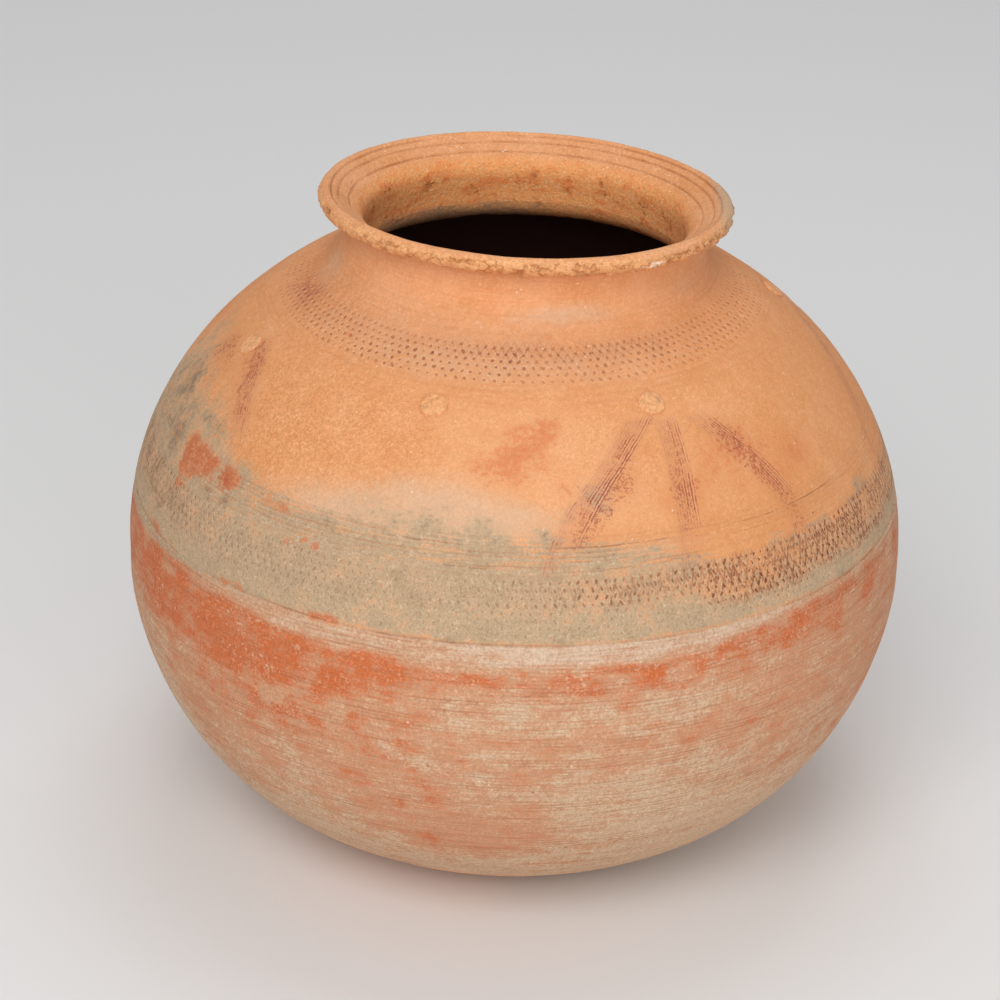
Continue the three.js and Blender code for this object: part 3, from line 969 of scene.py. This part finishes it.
# %% [markdown]
# ## Pellets
# The potter rolled six bits of clay into balls and pressed them flat on the shoulder, where the fans start.
# One is spun, copied five times, turned to the wall's slope and roughened, each a little differently.

# %% Pellets on the shoulder
PELLET_EDGE = 0.8
PELLET_CROWN = 0.6
PELLET_ROOT = 1.2
PELLET_ROUND = 0.8
PELLET_TURNS = 48

flat_r = PELLET_R - PELLET_ROUND
flat_z = PELLET_EDGE - PELLET_ROUND
pellet_round = [(flat_r + PELLET_ROUND * math.sin(a), flat_z + PELLET_ROUND * math.cos(a))
                for a in np.linspace(math.pi / 2, 0, 6)]
pellet_top = [(r, PELLET_EDGE + PELLET_CROWN * (1 - (r / flat_r) ** 2))
              for r in np.linspace(flat_r, 0, 9)[1:]]
pellet_profile = [(0, -PELLET_ROOT), (PELLET_R / 2, -PELLET_ROOT), (PELLET_R, -PELLET_ROOT)]
pellet_profile += pellet_round + pellet_top
first_pellet = spun("pellet_skin_1", pellet_profile, PELLET_TURNS, [-PELLET_ROOT])
pellets = [first_pellet]
for number in range(2, len(PELLETS) + 1):
    bpy.ops.object.select_all(action="DESELECT")
    first_pellet.select_set(True)
    bpy.context.view_layer.objects.active = first_pellet
    bpy.ops.object.duplicate()
    pellets.append(bpy.context.object)
    pellets[-1].name = pellets[-1].data.name = f"pellet_skin_{number}"

wall_now = positions(shoulder)
for number, (piece, (angle, drop)) in enumerate(zip(pellets, PELLETS)):
    height = NECK_BASE - drop
    out = np.array([math.sin(math.radians(angle)), -math.cos(math.radians(angle)), 0])
    side = np.array([math.cos(math.radians(angle)), math.sin(math.radians(angle)), 0])
    normal_r = np.interp(height, OUTLINE[:, 1], NORMALS[:, 0])
    normal_z = np.interp(height, OUTLINE[:, 1], NORMALS[:, 1])
    normal = out * normal_r + np.array([0, 0, normal_z])
    seat = out * radius_at(height) + np.array([0, 0, height])
    near = np.linalg.norm(wall_now - seat, axis=1) < 4
    seat = seat + normal * ((wall_now[near] - seat) @ normal).mean()
    up = np.cross(normal, side)
    local = positions(piece)
    turn = np.arctan2(local[:, 1], local[:, 0])
    local[:, :2] *= (1 + 0.05 * np.sin(2 * turn + number) + 0.03 * np.sin(3 * turn + 2 * number))[:, None]
    lumpy = 0.22 * grain(local + 40 * number, 3.5, 350) + 0.12 * grain(local + 40 * number, 1.6, 351)
    local[:, 2] += lumpy * (local[:, 2] > 0)
    local[:, 2] = np.where(local[:, 2] > 0, local[:, 2] * PELLET_RELIEF[number], local[:, 2])
    move_to(piece, seat + local[:, :1] * side + local[:, 1:2] * up + local[:, 2:] * normal)
    keep(piece, "lumps", lumpy)
print("pellets:", len(pellets), "of", len(first_pellet.data.polygons), "faces")

# %% [markdown]
# ## Finishes
# One small class wraps a socket, so that masks can be written as sums and products, and one builds a
# material. All four parts of the body share the same layers: orange clay, rubbed red slip, buff patina, dark
# paint in the pits, pale grit. Only then do the colours run on across the seams, as they do on a jar of one
# clay.

# %% Shader helpers
GRAIN_SIZES = (48, 12, 2.8, 1.3, 0.8)


class Value:
    """A socket in a finish; arithmetic on it adds Math nodes."""

    def __init__(self, finish, socket):
        self.finish = finish
        self.socket = socket

    def __add__(self, other):
        return self.finish.math("ADD", self, other)

    def __sub__(self, other):
        return self.finish.math("SUBTRACT", self, other)

    def __rsub__(self, other):
        return self.finish.math("SUBTRACT", other, self)

    def __mul__(self, other):
        return self.finish.math("MULTIPLY", self, other)

    __radd__ = __add__
    __rmul__ = __mul__


class Finish:
    """A material of one Principled shader whose inputs are built from nodes."""

    def __init__(self, name):
        self.material = bpy.data.materials.new(name)
        self.material.use_nodes = True
        self.tree = self.material.node_tree
        self.shader = self.tree.nodes["Principled BSDF"]
        self.coords = self.node("ShaderNodeTexCoord", {}, {}, "Object")
        self.grain = [self.lumps(size, 3, seed) for seed, size in enumerate(GRAIN_SIZES, 1)]

    def node(self, kind, settings, inputs, output=0):
        made = self.tree.nodes.new(kind)
        for key, setting in settings.items():
            setattr(made, key, setting)
        for key, value in inputs.items():
            self.plug(made.inputs[key], value)
        return Value(self, made.outputs[output])

    def plug(self, socket, value):
        if isinstance(value, Value):
            self.tree.links.new(value.socket, socket)
        else:
            socket.default_value = value

    def math(self, operation, *values):
        return self.node("ShaderNodeMath", {"operation": operation}, dict(enumerate(values)))

    def mix(self, share, one, other, blend="MIX"):
        return self.node("ShaderNodeMix", {"data_type": "RGBA", "blend_type": blend},
                         {0: share, 6: one, 7: other}, 2)

    def step(self, value, low, high):
        """0 at low, 1 at high and a smooth step between them."""
        return self.node("ShaderNodeMapRange", {"interpolation_type": "SMOOTHSTEP"},
                         {0: value, 1: low, 2: high})

    def field(self, name):
        return self.node("ShaderNodeAttribute", {"attribute_name": name}, {}, "Fac")

    def axis(self, name):
        """One of the place's coordinates in millimetres."""
        return self.node("ShaderNodeSeparateXYZ", {}, {"Vector": self.coords}, name) * (1 / MM)

    def placed(self, location, scale):
        return self.node("ShaderNodeMapping", {},
                         {"Vector": self.coords, "Location": location, "Scale": scale})

    def lumps(self, size, detail, seed, across=1):
        """Noise from about -1 to 1 with lumps of a size in millimetres, drawn out level by a factor."""
        level, upright = 1 / (size * across * MM), 1 / (size * MM)
        place = self.placed((seed * 3.1, seed * 1.7, seed), (level, level, upright))
        noise = self.node("ShaderNodeTexNoise", {}, {"Vector": place, "Scale": 1, "Detail": detail})
        return self.math("MULTIPLY_ADD", noise, 3.2, -1.6)

    def dots(self, spacing, size, share, seed):
        """Round specks, about one in each cell of the spacing for the given share of the cells."""
        place = self.placed((seed * 2.3, seed, seed * 1.3), (1 / (spacing * MM),) * 3)
        near = self.node("ShaderNodeTexVoronoi", {}, {"Vector": place, "Scale": 1}, "Distance")
        cell = Value(self, near.socket.node.outputs["Color"])
        speck = self.step(near, size / spacing, 0.4 * size / spacing)
        return speck * self.step(cell, 1 - share, 1.1 - share)

    def end(self, colour, rough, height, depth):
        self.plug(self.shader.inputs["Base Color"], colour)
        self.plug(self.shader.inputs["Roughness"], rough)
        bump = self.node("ShaderNodeBump", {}, {"Strength": 1, "Distance": depth * MM, "Height": height})
        self.plug(self.shader.inputs["Normal"], bump)
        return self.material


def tone(text):
    """A colour from its six hex digits, as written on a paint card."""
    parts = [int(text[i:i + 2], 16) / 255 for i in (0, 2, 4)]
    linear = [v / 12.92 if v <= 0.04045 else ((v + 0.055) / 1.055) ** 2.4 for v in parts]
    return (*linear, 1)


print("paint card white:", tone("ffffff"))

# %% [markdown]
# ## Layers of the wall
# On the real jar these lie over one another: smoothed clay, red slip below, dust on the belt, then cut lines,
# paint and soot. A painted picture could carry them too, but it would stretch at the foot and blur close up.
# So each layer is a function that takes the colour so far, lays its own tone on it where noise and the fields
# say, and gives it back. Some layers lay painted shade as well: in recesses, pits and the dark inside.

# %% Colours of the clay
ORANGE, ORANGE_WARM, ORANGE_PALE = tone("eeab79"), tone("e49a61"), tone("f5c49b")
SMUDGE, BLOOM, GRIT = tone("d97d4c"), tone("dfb592"), tone("fadfc2")
BUFF, PINK, WIPED, SCORED = tone("d0b191"), tone("d19873"), tone("dcc3a3"), tone("b3704a")
SLIP, REDDISH, BEIGE = tone("d06d3a"), tone("b3552d"), tone("e3cdb6")
OLIVE, OLIVE_DARK, OLIVE_PALE = tone("c4aa8a"), tone("9c815e"), tone("dcc8ad")
BARE, PAINT, PAINT_THIN, GRIME = tone("cb6a3a"), tone("a2472c"), tone("cf8a68"), tone("7e6852")
# PIT darkens the pinholes: painted shade.
SHADE, PIT, PIT_BROWN, TORN = tone("8f5f42"), tone("6e4630"), tone("90532d"), tone("a0562f")
# The two soot tones and the scorched tone are soot and painted shade together.
SOOT_AND_SHADE, SOOT_AND_SHADE_BROWN, ASH, SCORCHED_AND_SHADED = tone("41190d"), tone("8f6246"), tone("b79a78"), tone("96602f")
ORANGE_DEEP, RUST, RUST_DARK = tone("ffb067"), tone("ec7c3b"), tone("a85a2c")
# The broken clay's dark and low tones are painted shade, in its hollows and under the lip's edge.
BROKEN, BROKEN_HOLLOW_SHADE, LIP_UNDERSIDE_SHADE = tone("f6b47b"), tone("a5622f"), tone("ce7b42")
# GROOVE is painted shade in the lip's turned grooves.
GREY_CHIP, GROOVE, PELLET_YELLOW = tone("c4ad8f"), tone("bd7243"), tone("ebb57f")
print("orange clay:", [round(v, 3) for v in ORANGE])


# %% Layers that several finishes share
def orange_clay(made, warm=0.0):
    """The clay itself, as the shoulder, the neck, the lip and the pellets show it."""
    cloud, blot, speck, fine, tiny = made.grain
    colour = made.mix(made.step(cloud + blot * 0.6 + warm, -1, 1.2), ORANGE, ORANGE_WARM)
    colour = made.mix(made.step(speck * 0.4 + fine * 0.5 + tiny * 0.4, -0.2, 1.3) * 0.5, colour, ORANGE_PALE)
    return made.mix(made.step(fine * 0.5 - speck * 0.5 + cloud * 0.4, 0.1, 1.4) * 0.45, colour, SMUDGE)


def inside_clay(made, colour):
    """The mouth's inner wall: deeper orange, with rusty streaks round it and pale and dark grit."""
    _, blot, speck, fine, _ = made.grain
    inner = made.field("inner")
    wiped_round = made.lumps(3.5, 3, 14, 4)
    rusty = made.step(blot * 0.5 + wiped_round * 0.7 + speck * 0.5 + fine * 0.4, -0.3, 0.7)
    dark = made.step(speck * 0.7 - fine * 0.5 + blot * 0.3, 0.25, 0.7)
    pale = made.step(fine * 0.7 - speck * 0.6, 0.15, 0.65)
    colour = made.mix(inner * 0.75, colour, ORANGE_DEEP)
    colour = made.mix(rusty * inner * 0.7, colour, RUST)
    colour = made.mix(dark * inner * 0.45, colour, RUST_DARK)
    return made.mix(pale * inner * 0.65, colour, ORANGE_PALE)


def sanded(made, colour, amount):
    """The colour with a sandy grain of light and dark over it."""
    _, _, speck, fine, tiny = made.grain
    return made.mix(1.0, colour, 1 + (tiny * 0.5 + fine * 0.5 + speck * 0.2) * amount, "MULTIPLY")


def ruled(made, value, thin, thick):
    """Thin lines, one where the value passes each whole number and a half."""
    return made.step(made.math("ABSOLUTE", made.math("FRACT", value) - 0.5), thick, thin)


print("shared layers:", [layer.__name__ for layer in (orange_clay, inside_clay, sanded)])

# %% What the wall's layers have in common
RULED_PITCH = 1.9


class WallClay(Finish):
    """The wall's finish, with the noises and masks that several of its layers read."""

    def __init__(self, name):
        super().__init__(name)
        cloud, blot, speck, _, _ = self.grain
        self.up = self.axis("Z")
        self.streak, self.wipe = self.lumps(0.9, 3, 16, 26), self.lumps(2.6, 3, 6, 16)
        self.combed, self.slip, self.low = (self.field(mask) for mask in ("combed", "slip", "low"))
        self.grooved = self.combed * (1 - self.low * 0.7)
        self.patchy = self.step(blot * 0.6 + speck * 0.4, -0.7, 0.3) * self.field("stroke")
        self.patina = self.field("patina") - self.patchy * 0.22
        drawn = ruled(self, self.up * (1 / RULED_PITCH) + blot * 0.3 + cloud * 0.5, 0.08, 0.3)
        self.drawn = drawn * self.step(self.wipe + speck * 0.4, -0.3, 0.6)


print("turning lines every", RULED_PITCH, "mm")


# %% Upper and lower wall
def upper_wall(made):
    """Smoothed orange clay with turning lines, pale bloom and redder smudges."""
    step, mix, field = made.step, made.mix, made.field
    _, blot, speck, fine, _ = made.grain
    turned, red = field("turned"), field("red")
    colour = orange_clay(made, field("warm") * 0.7)
    colour = mix(made.drawn * turned * 0.22, colour, SMUDGE)
    colour = mix(step(made.streak, 0.2, 1.2) * turned * 0.4, colour, ORANGE_PALE)
    colour = mix(step(field("pale") + blot * 0.2 + speck * 0.15, 0.1, 1) * 0.85, colour, BLOOM)
    smudged = step(red + blot * 0.3 + speck * 0.55 + fine * 0.45, 0.3, 1.2) * step(red, 0.02, 0.3)
    return mix(smudged * 0.8, colour, SMUDGE)


def lower_wall(made):
    """Red slip that is rubbed down to pink and buff in streaks, with bare clay along the foot."""
    step, mix, field = made.step, made.mix, made.field
    _, blot, speck, fine, _ = made.grain
    streak, wipe, combed, slip = made.streak, made.wipe, made.combed, made.slip
    brush, patch = made.lumps(1.2, 2, 11, 14), made.lumps(9, 5, 12, 1.6)
    redness = slip * 0.5 + field("blush") * 0.4 + 0.26
    wiped = mix(step(streak * 0.5 + speck * 0.6 + fine * 0.4, -0.5, 0.9), BUFF, WIPED)
    wiped = mix(combed * step(field("blush"), 0.5, 0) * 0.6, wiped, BEIGE)

    colour = mix(step(slip + blot * 0.45 - patch * 0.4 + wipe * 0.25 + speck * 0.3, 0.38, 1.1), PINK, SLIP)
    colour = mix(step(wipe * 0.6 - blot * 0.5 - speck * 0.3, 0, 1.2) * 0.5, colour, SCORED)
    rubbed = brush * 0.45 + patch * 0.5 + streak * 0.4 + speck * 0.4 + fine * 0.3
    rubbed = rubbed * (1 - combed * 0.45) - redness * 1.4 + 0.7
    colour = mix(step(rubbed, -0.35, 0.55) * 0.82, colour, wiped)
    worn = step(speck * 0.5 + fine * 0.5 + blot * 0.3 + wipe * 0.3, 0.12, 0.6) * step(slip, 0.2, 0.8)
    colour = mix(worn * 0.55, colour, wiped)
    left_red = step(brush * 0.5 - patch * 0.5 + speck * 0.4 + fine * 0.3, 0.1, 0.5) * step(redness, 0.2, 0.6)
    colour = mix(left_red * (1 - combed) * 0.42, colour, SLIP)
    colour = mix(step(fine * 0.4 - streak + wipe * 0.2, 0.3, 1.1) * 0.25, colour, SCORED)
    colour = mix(made.drawn * 0.5, colour, SCORED)
    flecked = step(blot * 0.6 + speck * 0.5 + fine * 0.3 + wipe * 0.3, 0.3, 0.9) * combed
    colour = mix(flecked * 0.4, colour, SLIP)
    return mix(step(field("sole") + blot * 0.3 + speck * 0.2, 0.3, 0.9) * 0.7, colour, ORANGE)


print("walls:", [layer.__name__ for layer in (upper_wall, lower_wall)])

# %% Patina and cut lines
THIN_CUTS = (214.6, 223.2)


def dusted(made, colour):
    """Grey-buff patina, flaked off in patches down to red clay."""
    step, mix, field, dots = made.step, made.mix, made.field, made.dots
    _, blot, speck, fine, _ = made.grain
    dust = mix(step(speck * 0.6 + fine * 0.8 + blot * 0.4, -0.6, 1.4) * 0.8, OLIVE, OLIVE_DARK)
    dust = mix(step(fine * 0.7 - speck * 0.6 + made.streak * 0.3, 0.1, 1.1) * 0.7, dust, OLIVE_PALE)
    dirt = field("grime") + blot * 0.4 + speck * 0.4 + fine * 0.4
    dust = mix(step(dirt, 0.2, 1.1) * 0.75, dust, GRIME)
    dust = mix(dots(1.9, 0.65, 0.5, 31) * 0.35, dust, GRIME)
    dust = mix(dots(1.9, 0.6, 0.5, 32) * 0.35, dust, OLIVE_PALE)
    cover = made.patina + blot * 0.4 + speck * 0.35 + fine * 0.3 + made.streak * made.combed * 0.65
    colour = mix(step(cover, 0.05, 0.95) * step(made.patina, 0, 0.15) * 0.94, colour, dust)
    bare = mix(step(speck * 0.6 + fine * 0.6 + blot, -0.3, 1.2) * 0.75, BARE, ORANGE)
    bare = mix(step(fine * 0.7 - speck * 0.5, 0.5, 0.9) * 0.45, bare, GRIT)
    flaked = step(field("bare") + blot * 0.3 + speck * 0.4 + fine * 0.25, 0.35, 0.8)
    return mix(flaked * step(field("bare"), 0.05, 0.3) * 0.85, colour, bare)


def lined(made, colour):
    """Shade in the combed and cut lines. Gives the thin cuts over the belt as well."""
    step, mix = made.step, made.mix
    cloud, blot, speck, _, _ = made.grain
    colour = mix(made.drawn * made.grooved * (0.2 + made.patina * 0.3), colour, SCORED)
    off_seam = made.math("ABSOLUTE", made.up - BELT_LOW + blot * 0.4 + speck * 0.2)
    seam = step(off_seam, 0.8, 0.25) * step(made.wipe + blot * 0.6 + cloud * 0.6, -0.4, 0.7)
    colour = mix(seam * 0.5, colour, SHADE)
    colour = mix(step(made.streak, 0.3, 1) * made.grooved * 0.55, colour, BLOOM)
    off_cuts = [made.math("ABSOLUTE", made.up - height + cloud * 0.8 + blot * 0.3) for height in THIN_CUTS]
    thin_cut = step(made.math("MINIMUM", *off_cuts), 0.45, 0.1)
    thin_cut = thin_cut * step(made.wipe + blot * 0.8 + speck * 0.4, -0.1, 0.7)
    return mix(thin_cut * 0.5, colour, SHADE), thin_cut


print("thin cuts over the belt at", THIN_CUTS, "mm")

# %% Fans and prints
LINE_PITCH = 1.5


def fanned(made, colour):
    """Comb lines of the fans and the paint brushed over them. Gives the lines as well."""
    step, mix = made.step, made.mix
    _, blot, speck, fine, tiny = made.grain
    comb, paint = made.field("comb"), made.field("paint")
    bent = made.field("offset") * (1 / LINE_PITCH) + blot * 0.35 + speck * 0.2
    each = made.node("ShaderNodeTexWhiteNoise", {"noise_dimensions": "1D"}, {"W": made.math("FLOOR", bent)})
    broken = step(blot * 0.6 + speck * 0.6 + each * 0.9, -0.1, 1.1) * comb
    line = ruled(made, bent, 0.06, 0.24) * broken
    ridge = ruled(made, bent + 0.5, 0.02, 0.18) * broken
    tinted = step(comb + speck * 0.5 + fine * 0.4 + blot * 0.3, 0.1, 1.2) * step(comb, 0.02, 0.3)
    colour = mix(tinted * 0.38, colour, PAINT_THIN)
    colour = mix(ridge * 0.6, colour, ORANGE_PALE)
    stain = paint * 0.75 + speck * 0.32 + fine * 0.45 + tiny * 0.6 + line * 0.35 - ridge * 0.35
    stain = step(stain, 0.36, 0.92) * step(paint, 0.03, 0.2)
    stain_tone = mix(step(paint + blot * 0.5 + speck * 0.4, 0.3, 1), REDDISH, PAINT)
    colour = mix(stain * (0.35 + paint * 0.45), colour, stain_tone)
    return mix(line * 0.5, colour, PAINT), line


def torn_strokes(made, columns, lean, waver):
    """Slanted strokes from pit to pit of the roller's print, drawn from the angle and the row."""
    turn = made.math("ARCTAN2", made.axis("X"), made.axis("Y") * -1)
    column = turn * (columns / (2 * math.pi)) + columns / 2 + waver
    row = made.field("row") * lean
    rising = ruled(made, column + row + 0.75, 0.04, 0.18)
    falling = ruled(made, column - row + 0.25, 0.04, 0.18)
    return made.math("MAXIMUM", rising, falling)


def printed(made, colour, columns, lean):
    """Paint in the roller's pits and torn ridges, with painted shade in the pits under the patina and painted
    highlights round them. Gives the torn strokes and the pits as well.
    """
    step, mix, patina = made.step, made.mix, made.patina
    _, blot, speck, fine, tiny = made.grain
    paint, pit_paint = made.field("paint"), made.field("pit_paint")
    torn = step(made.lumps(3.4, 2, 10, 0.3) + speck * 0.3, 0.1, 0.5) * made.patchy * 0.8
    if columns:
        joined = torn_strokes(made, columns, lean, speck * 0.15 + blot * 0.12)
        joined = joined * step(speck * 0.6 + fine * 0.6 + blot * 0.3, -0.9, 0.1) * made.patchy
        torn = made.math("MAXIMUM", torn, joined)
    colour = mix(torn * 0.9, colour, mix(paint, TORN, PAINT))
    pressed = made.field("pit") + speck * 0.2 + fine * 0.4 + tiny * 0.3
    # A painted highlight on the rim round each pit.
    pit_rim_highlight = step(pressed, -0.6, -0.2) * step(pressed, 0.1, -0.1)
    colour = mix(pit_rim_highlight * pit_paint * (0.45 - patina * 0.25), colour, ORANGE_PALE)
    colour = mix(pit_rim_highlight * patina * 0.15, colour, OLIVE_PALE)
    pit = step(pressed, -0.02, 0.45)
    # Painted shade in the pits under the patina.
    colour = mix(pit * patina * 0.42, colour, OLIVE_DARK)
    pit_tone = mix(0.35 - patina * 0.35 + paint * 0.4, PIT_BROWN, PAINT)
    colour = mix(pit * pit_paint * (0.9 + speck * 0.3), colour, pit_tone)
    return colour, torn, pit * (0.2 + pit_paint * 0.4)


print("comb lines every", LINE_PITCH, "mm")


# %% Grit, soot and painted shade
def gritty(made, colour):
    """Painted shade in recesses and pinholes, and pale grit. Gives the pinholes as well."""
    cloud, blot, _, _, _ = made.grain
    # Painted shade in the recessed lines, pits and pellet rings.
    colour = made.mix(made.field("recess") * (0.3 - made.patina * 0.15), colour, SHADE)
    flecks = made.dots(4.6, 0.7, 0.4, 7) * made.step(cloud + blot, -0.7, 0.5)
    flecks = flecks * (0.75 - made.patina * 0.6) * (1 - made.step(made.slip, 0.3, 0.7) * 0.8)
    # Pinholes, darkened with painted shade.
    pinholes = made.dots(11, 0.7, 0.35, 8)
    return made.mix(pinholes * 0.75, made.mix(flecks, colour, GRIT), PIT), pinholes


def sooted_and_shaded(made, colour):
    """The wall inside, with ash by the mouth and, under it, soot and painted shade. Gives its cracks as well.
    """
    step, mix, field = made.step, made.mix, made.field
    _, blot, speck, fine, _ = made.grain
    inner, ash = field("inner"), field("ash")
    colour = inside_clay(made, colour)
    cracks = step(made.math("ABSOLUTE", made.lumps(9, 3, 9, 1.6)), 0.1, 0.02)
    cracks = cracks * step(blot + speck * 0.5, 0.2, 0.7) * inner
    colour = mix(cracks * 0.4, colour, SHADE)
    # The inside's soot together with painted shade, from a scorched brown edge to near black.
    soot_and_shade_cover = field("soot") * 1.5 + blot * 0.4 + speck * 0.2
    colour = mix(step(soot_and_shade_cover, 0.05, 0.55) * inner * 0.7, colour, SCORCHED_AND_SHADED)
    ashy = step(ash + blot * 0.5 + speck * 0.4 + fine * 0.2, 0.1, 1.0) * step(ash, 0.02, 0.4)
    colour = mix(ashy * inner * 0.7, colour, ASH)
    # Near black under the neck and dark brown further down: soot and painted shade.
    soot_and_shade_tone = mix(step(made.up, 205, 140), SOOT_AND_SHADE, SOOT_AND_SHADE_BROWN)
    return mix(step(soot_and_shade_cover, 0.35, 0.9) * inner, colour, soot_and_shade_tone), cracks


print("layers over the walls:",
      [layer.__name__ for layer in (dusted, lined, fanned, printed, gritty, sooted_and_shaded)])

# %% Clay of the body
BUMP = 0.5


def clay(name, columns=0, lean=0):
    """The wall's finish, laid on layer by layer."""
    made = WallClay(name)
    _, _, speck, fine, _ = made.grain
    inner, coarse = made.field("inner"), made.field("coarse")
    colour = made.mix(made.low, upper_wall(made), lower_wall(made))
    colour, thin_cut = lined(made, dusted(made, colour))
    colour, line = fanned(made, colour)
    colour, torn, pit = printed(made, colour, columns, lean)
    colour, pinholes = gritty(made, colour)
    colour, cracks = sooted_and_shaded(made, colour)
    amount = 0.14 + coarse * 0.3 + made.low * 0.2 + made.patina * 0.28
    colour = sanded(made, colour, amount + made.field("grime") * 0.2 + inner * 0.26)
    rough = 0.9 - made.step(made.slip, 0.4, 0.9) * 0.1 - speck * 0.03
    height = fine * (0.14 + coarse * 0.15 + inner * 0.15) + speck * (0.16 + inner * 0.1)
    height = height + made.streak * (0.05 + made.low * 0.15 + made.grooved * 0.2)
    height = height - pinholes * 0.5 - line * 0.3 - torn * 0.4 - thin_cut * 0.3 - cracks * 0.6 - pit
    return made.end(colour, rough, height, BUMP)


for piece, name, columns, lean in ((bowl, "red_slip_clay", 0, 0), (belt, "belt_clay", BELT_COLUMNS, 0.25),
                                   (shoulder, "shoulder_clay", BAND_COLUMNS, 0.5), (neck, "neck_clay", 0, 0)):
    piece.data.materials.append(clay(name, columns, lean))
print("clay of the belt:", len(bpy.data.materials["belt_clay"].node_tree.nodes), "nodes")

# %% [markdown]
# ## Finish of the lip and the pellets
# The lip is of the same clay. Its broken front edge shows the rough inside of the clay, lighter on the high
# facets, with painted shade in the hollows and under the edge, and the fields that were kept with the flakes
# say where. The pellets are a little yellower and have only their lumps, with painted shade in the low spots,
# and some grit.


# %% Clay of the lip and the pellets
def lip_clay(name):
    made = Finish(name)
    step, mix, field, dots = made.step, made.mix, made.field, made.dots
    cloud, blot, speck, fine, _ = made.grain
    ragged = blot * 0.3 + speck * 0.35 + fine * 0.2
    inner, chip = field("inner"), field("chip")
    colour = inside_clay(made, orange_clay(made))
    # Painted shade in the hollows of the broken clay.
    broken = step(field("hollow") * 0.9 + speck * 0.4 + fine * 0.5 + blot * 0.2, 0.4, 1.2)
    colour = mix(step(chip + ragged, 0.3, 0.7) * 0.85, colour, mix(broken, BROKEN, BROKEN_HOLLOW_SHADE))
    # Painted shade on the underside of the lip's edge.
    under = field("under") * step(speck * 0.5 + fine * 0.5 + blot * 0.3, -0.8, 0.6)
    colour = mix(under * 0.65, colour, LIP_UNDERSIDE_SHADE)
    grey = mix(step(speck + fine * 0.5, 0.2, 1.2) * 0.7, GREY_CHIP, OLIVE_DARK)
    colour = mix(step(field("grey") + ragged, 0.45, 0.95) * 0.7, colour, grey)
    colour = mix(step(field("white") + ragged * 0.8, 0.75, 0.95) * 0.8, colour, GRIT)
    groove = 0.0
    for inset in GROOVE_INSETS:
        off = made.math("ABSOLUTE", field("inset") - inset + cloud * 0.4 + speck * 0.1)
        groove = step(off, 1.0, 0.2) + groove
    groove = groove * field("groove")
    # Painted shade in the turned grooves.
    colour = mix(groove * step(cloud + blot * 0.6 + speck * 0.5, -0.8, 0.9) * 0.8, colour, GROOVE)
    colour = mix(dots(3.2, 0.8, 0.5, 15) * step(cloud + blot, -0.7, 0.6) * 0.65, colour, GRIT)
    # Pinholes, darkened with painted shade.
    colour = mix(dots(9, 0.7, 0.35, 16) * 0.75, colour, PIT)
    colour = sanded(made, colour, 0.3 + chip * 0.2)
    height = fine * (0.18 + inner * 0.12) + speck * (0.2 + inner * 0.1)
    height = height + chip * (fine * 0.2 + speck * 0.25) - groove * 0.5
    return made.end(colour, 0.92 - speck * 0.03, height, BUMP)


def pellet_clay(name):
    made = Finish(name)
    _, _, speck, fine, _ = made.grain
    colour = made.mix(0.25, orange_clay(made), PELLET_YELLOW)
    # Painted shade in the low spots of the lumps.
    colour = made.mix(made.step(made.field("lumps"), -0.02, -0.2) * 0.25, colour, SHADE)
    colour = made.mix(made.dots(3, 0.7, 0.4, 23) * 0.7, colour, GRIT)
    colour = made.mix(1.0, colour, 1 + (fine * 0.6 + speck * 0.5) * 0.35, "MULTIPLY")
    return made.end(colour, 0.92 - speck * 0.03, fine * 0.15 + speck * 0.2, 0.8 * BUMP)


lip.data.materials.append(lip_clay("rim_clay"))
pellet_finish = pellet_clay("pellet_clay")
for piece in pellets:
    piece.data.materials.append(pellet_finish)
print("finishes:", [m.name for m in bpy.data.materials])

# %% [markdown]
# ## Pieces on the jar's body
# Each piece rides on the jar's one body and stands for its plain solid.

# %% Pieces and their solids
standing = [(bowl, "base_bowl", "red_slip_clay"), (belt, "belt", "belt_clay"),
            (shoulder, "shoulder", "shoulder_clay"), (neck, "neck_collar", "neck_clay"),
            (lip, "rim_lip", "rim_clay")]
standing += [(piece, f"pellet_{number + 1}", "pellet_clay") for number, piece in enumerate(pellets)]
for piece, node, slot in standing:
    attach(piece, "root")
    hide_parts(node)
print("pieces:", [piece.name for piece, node, slot in standing])
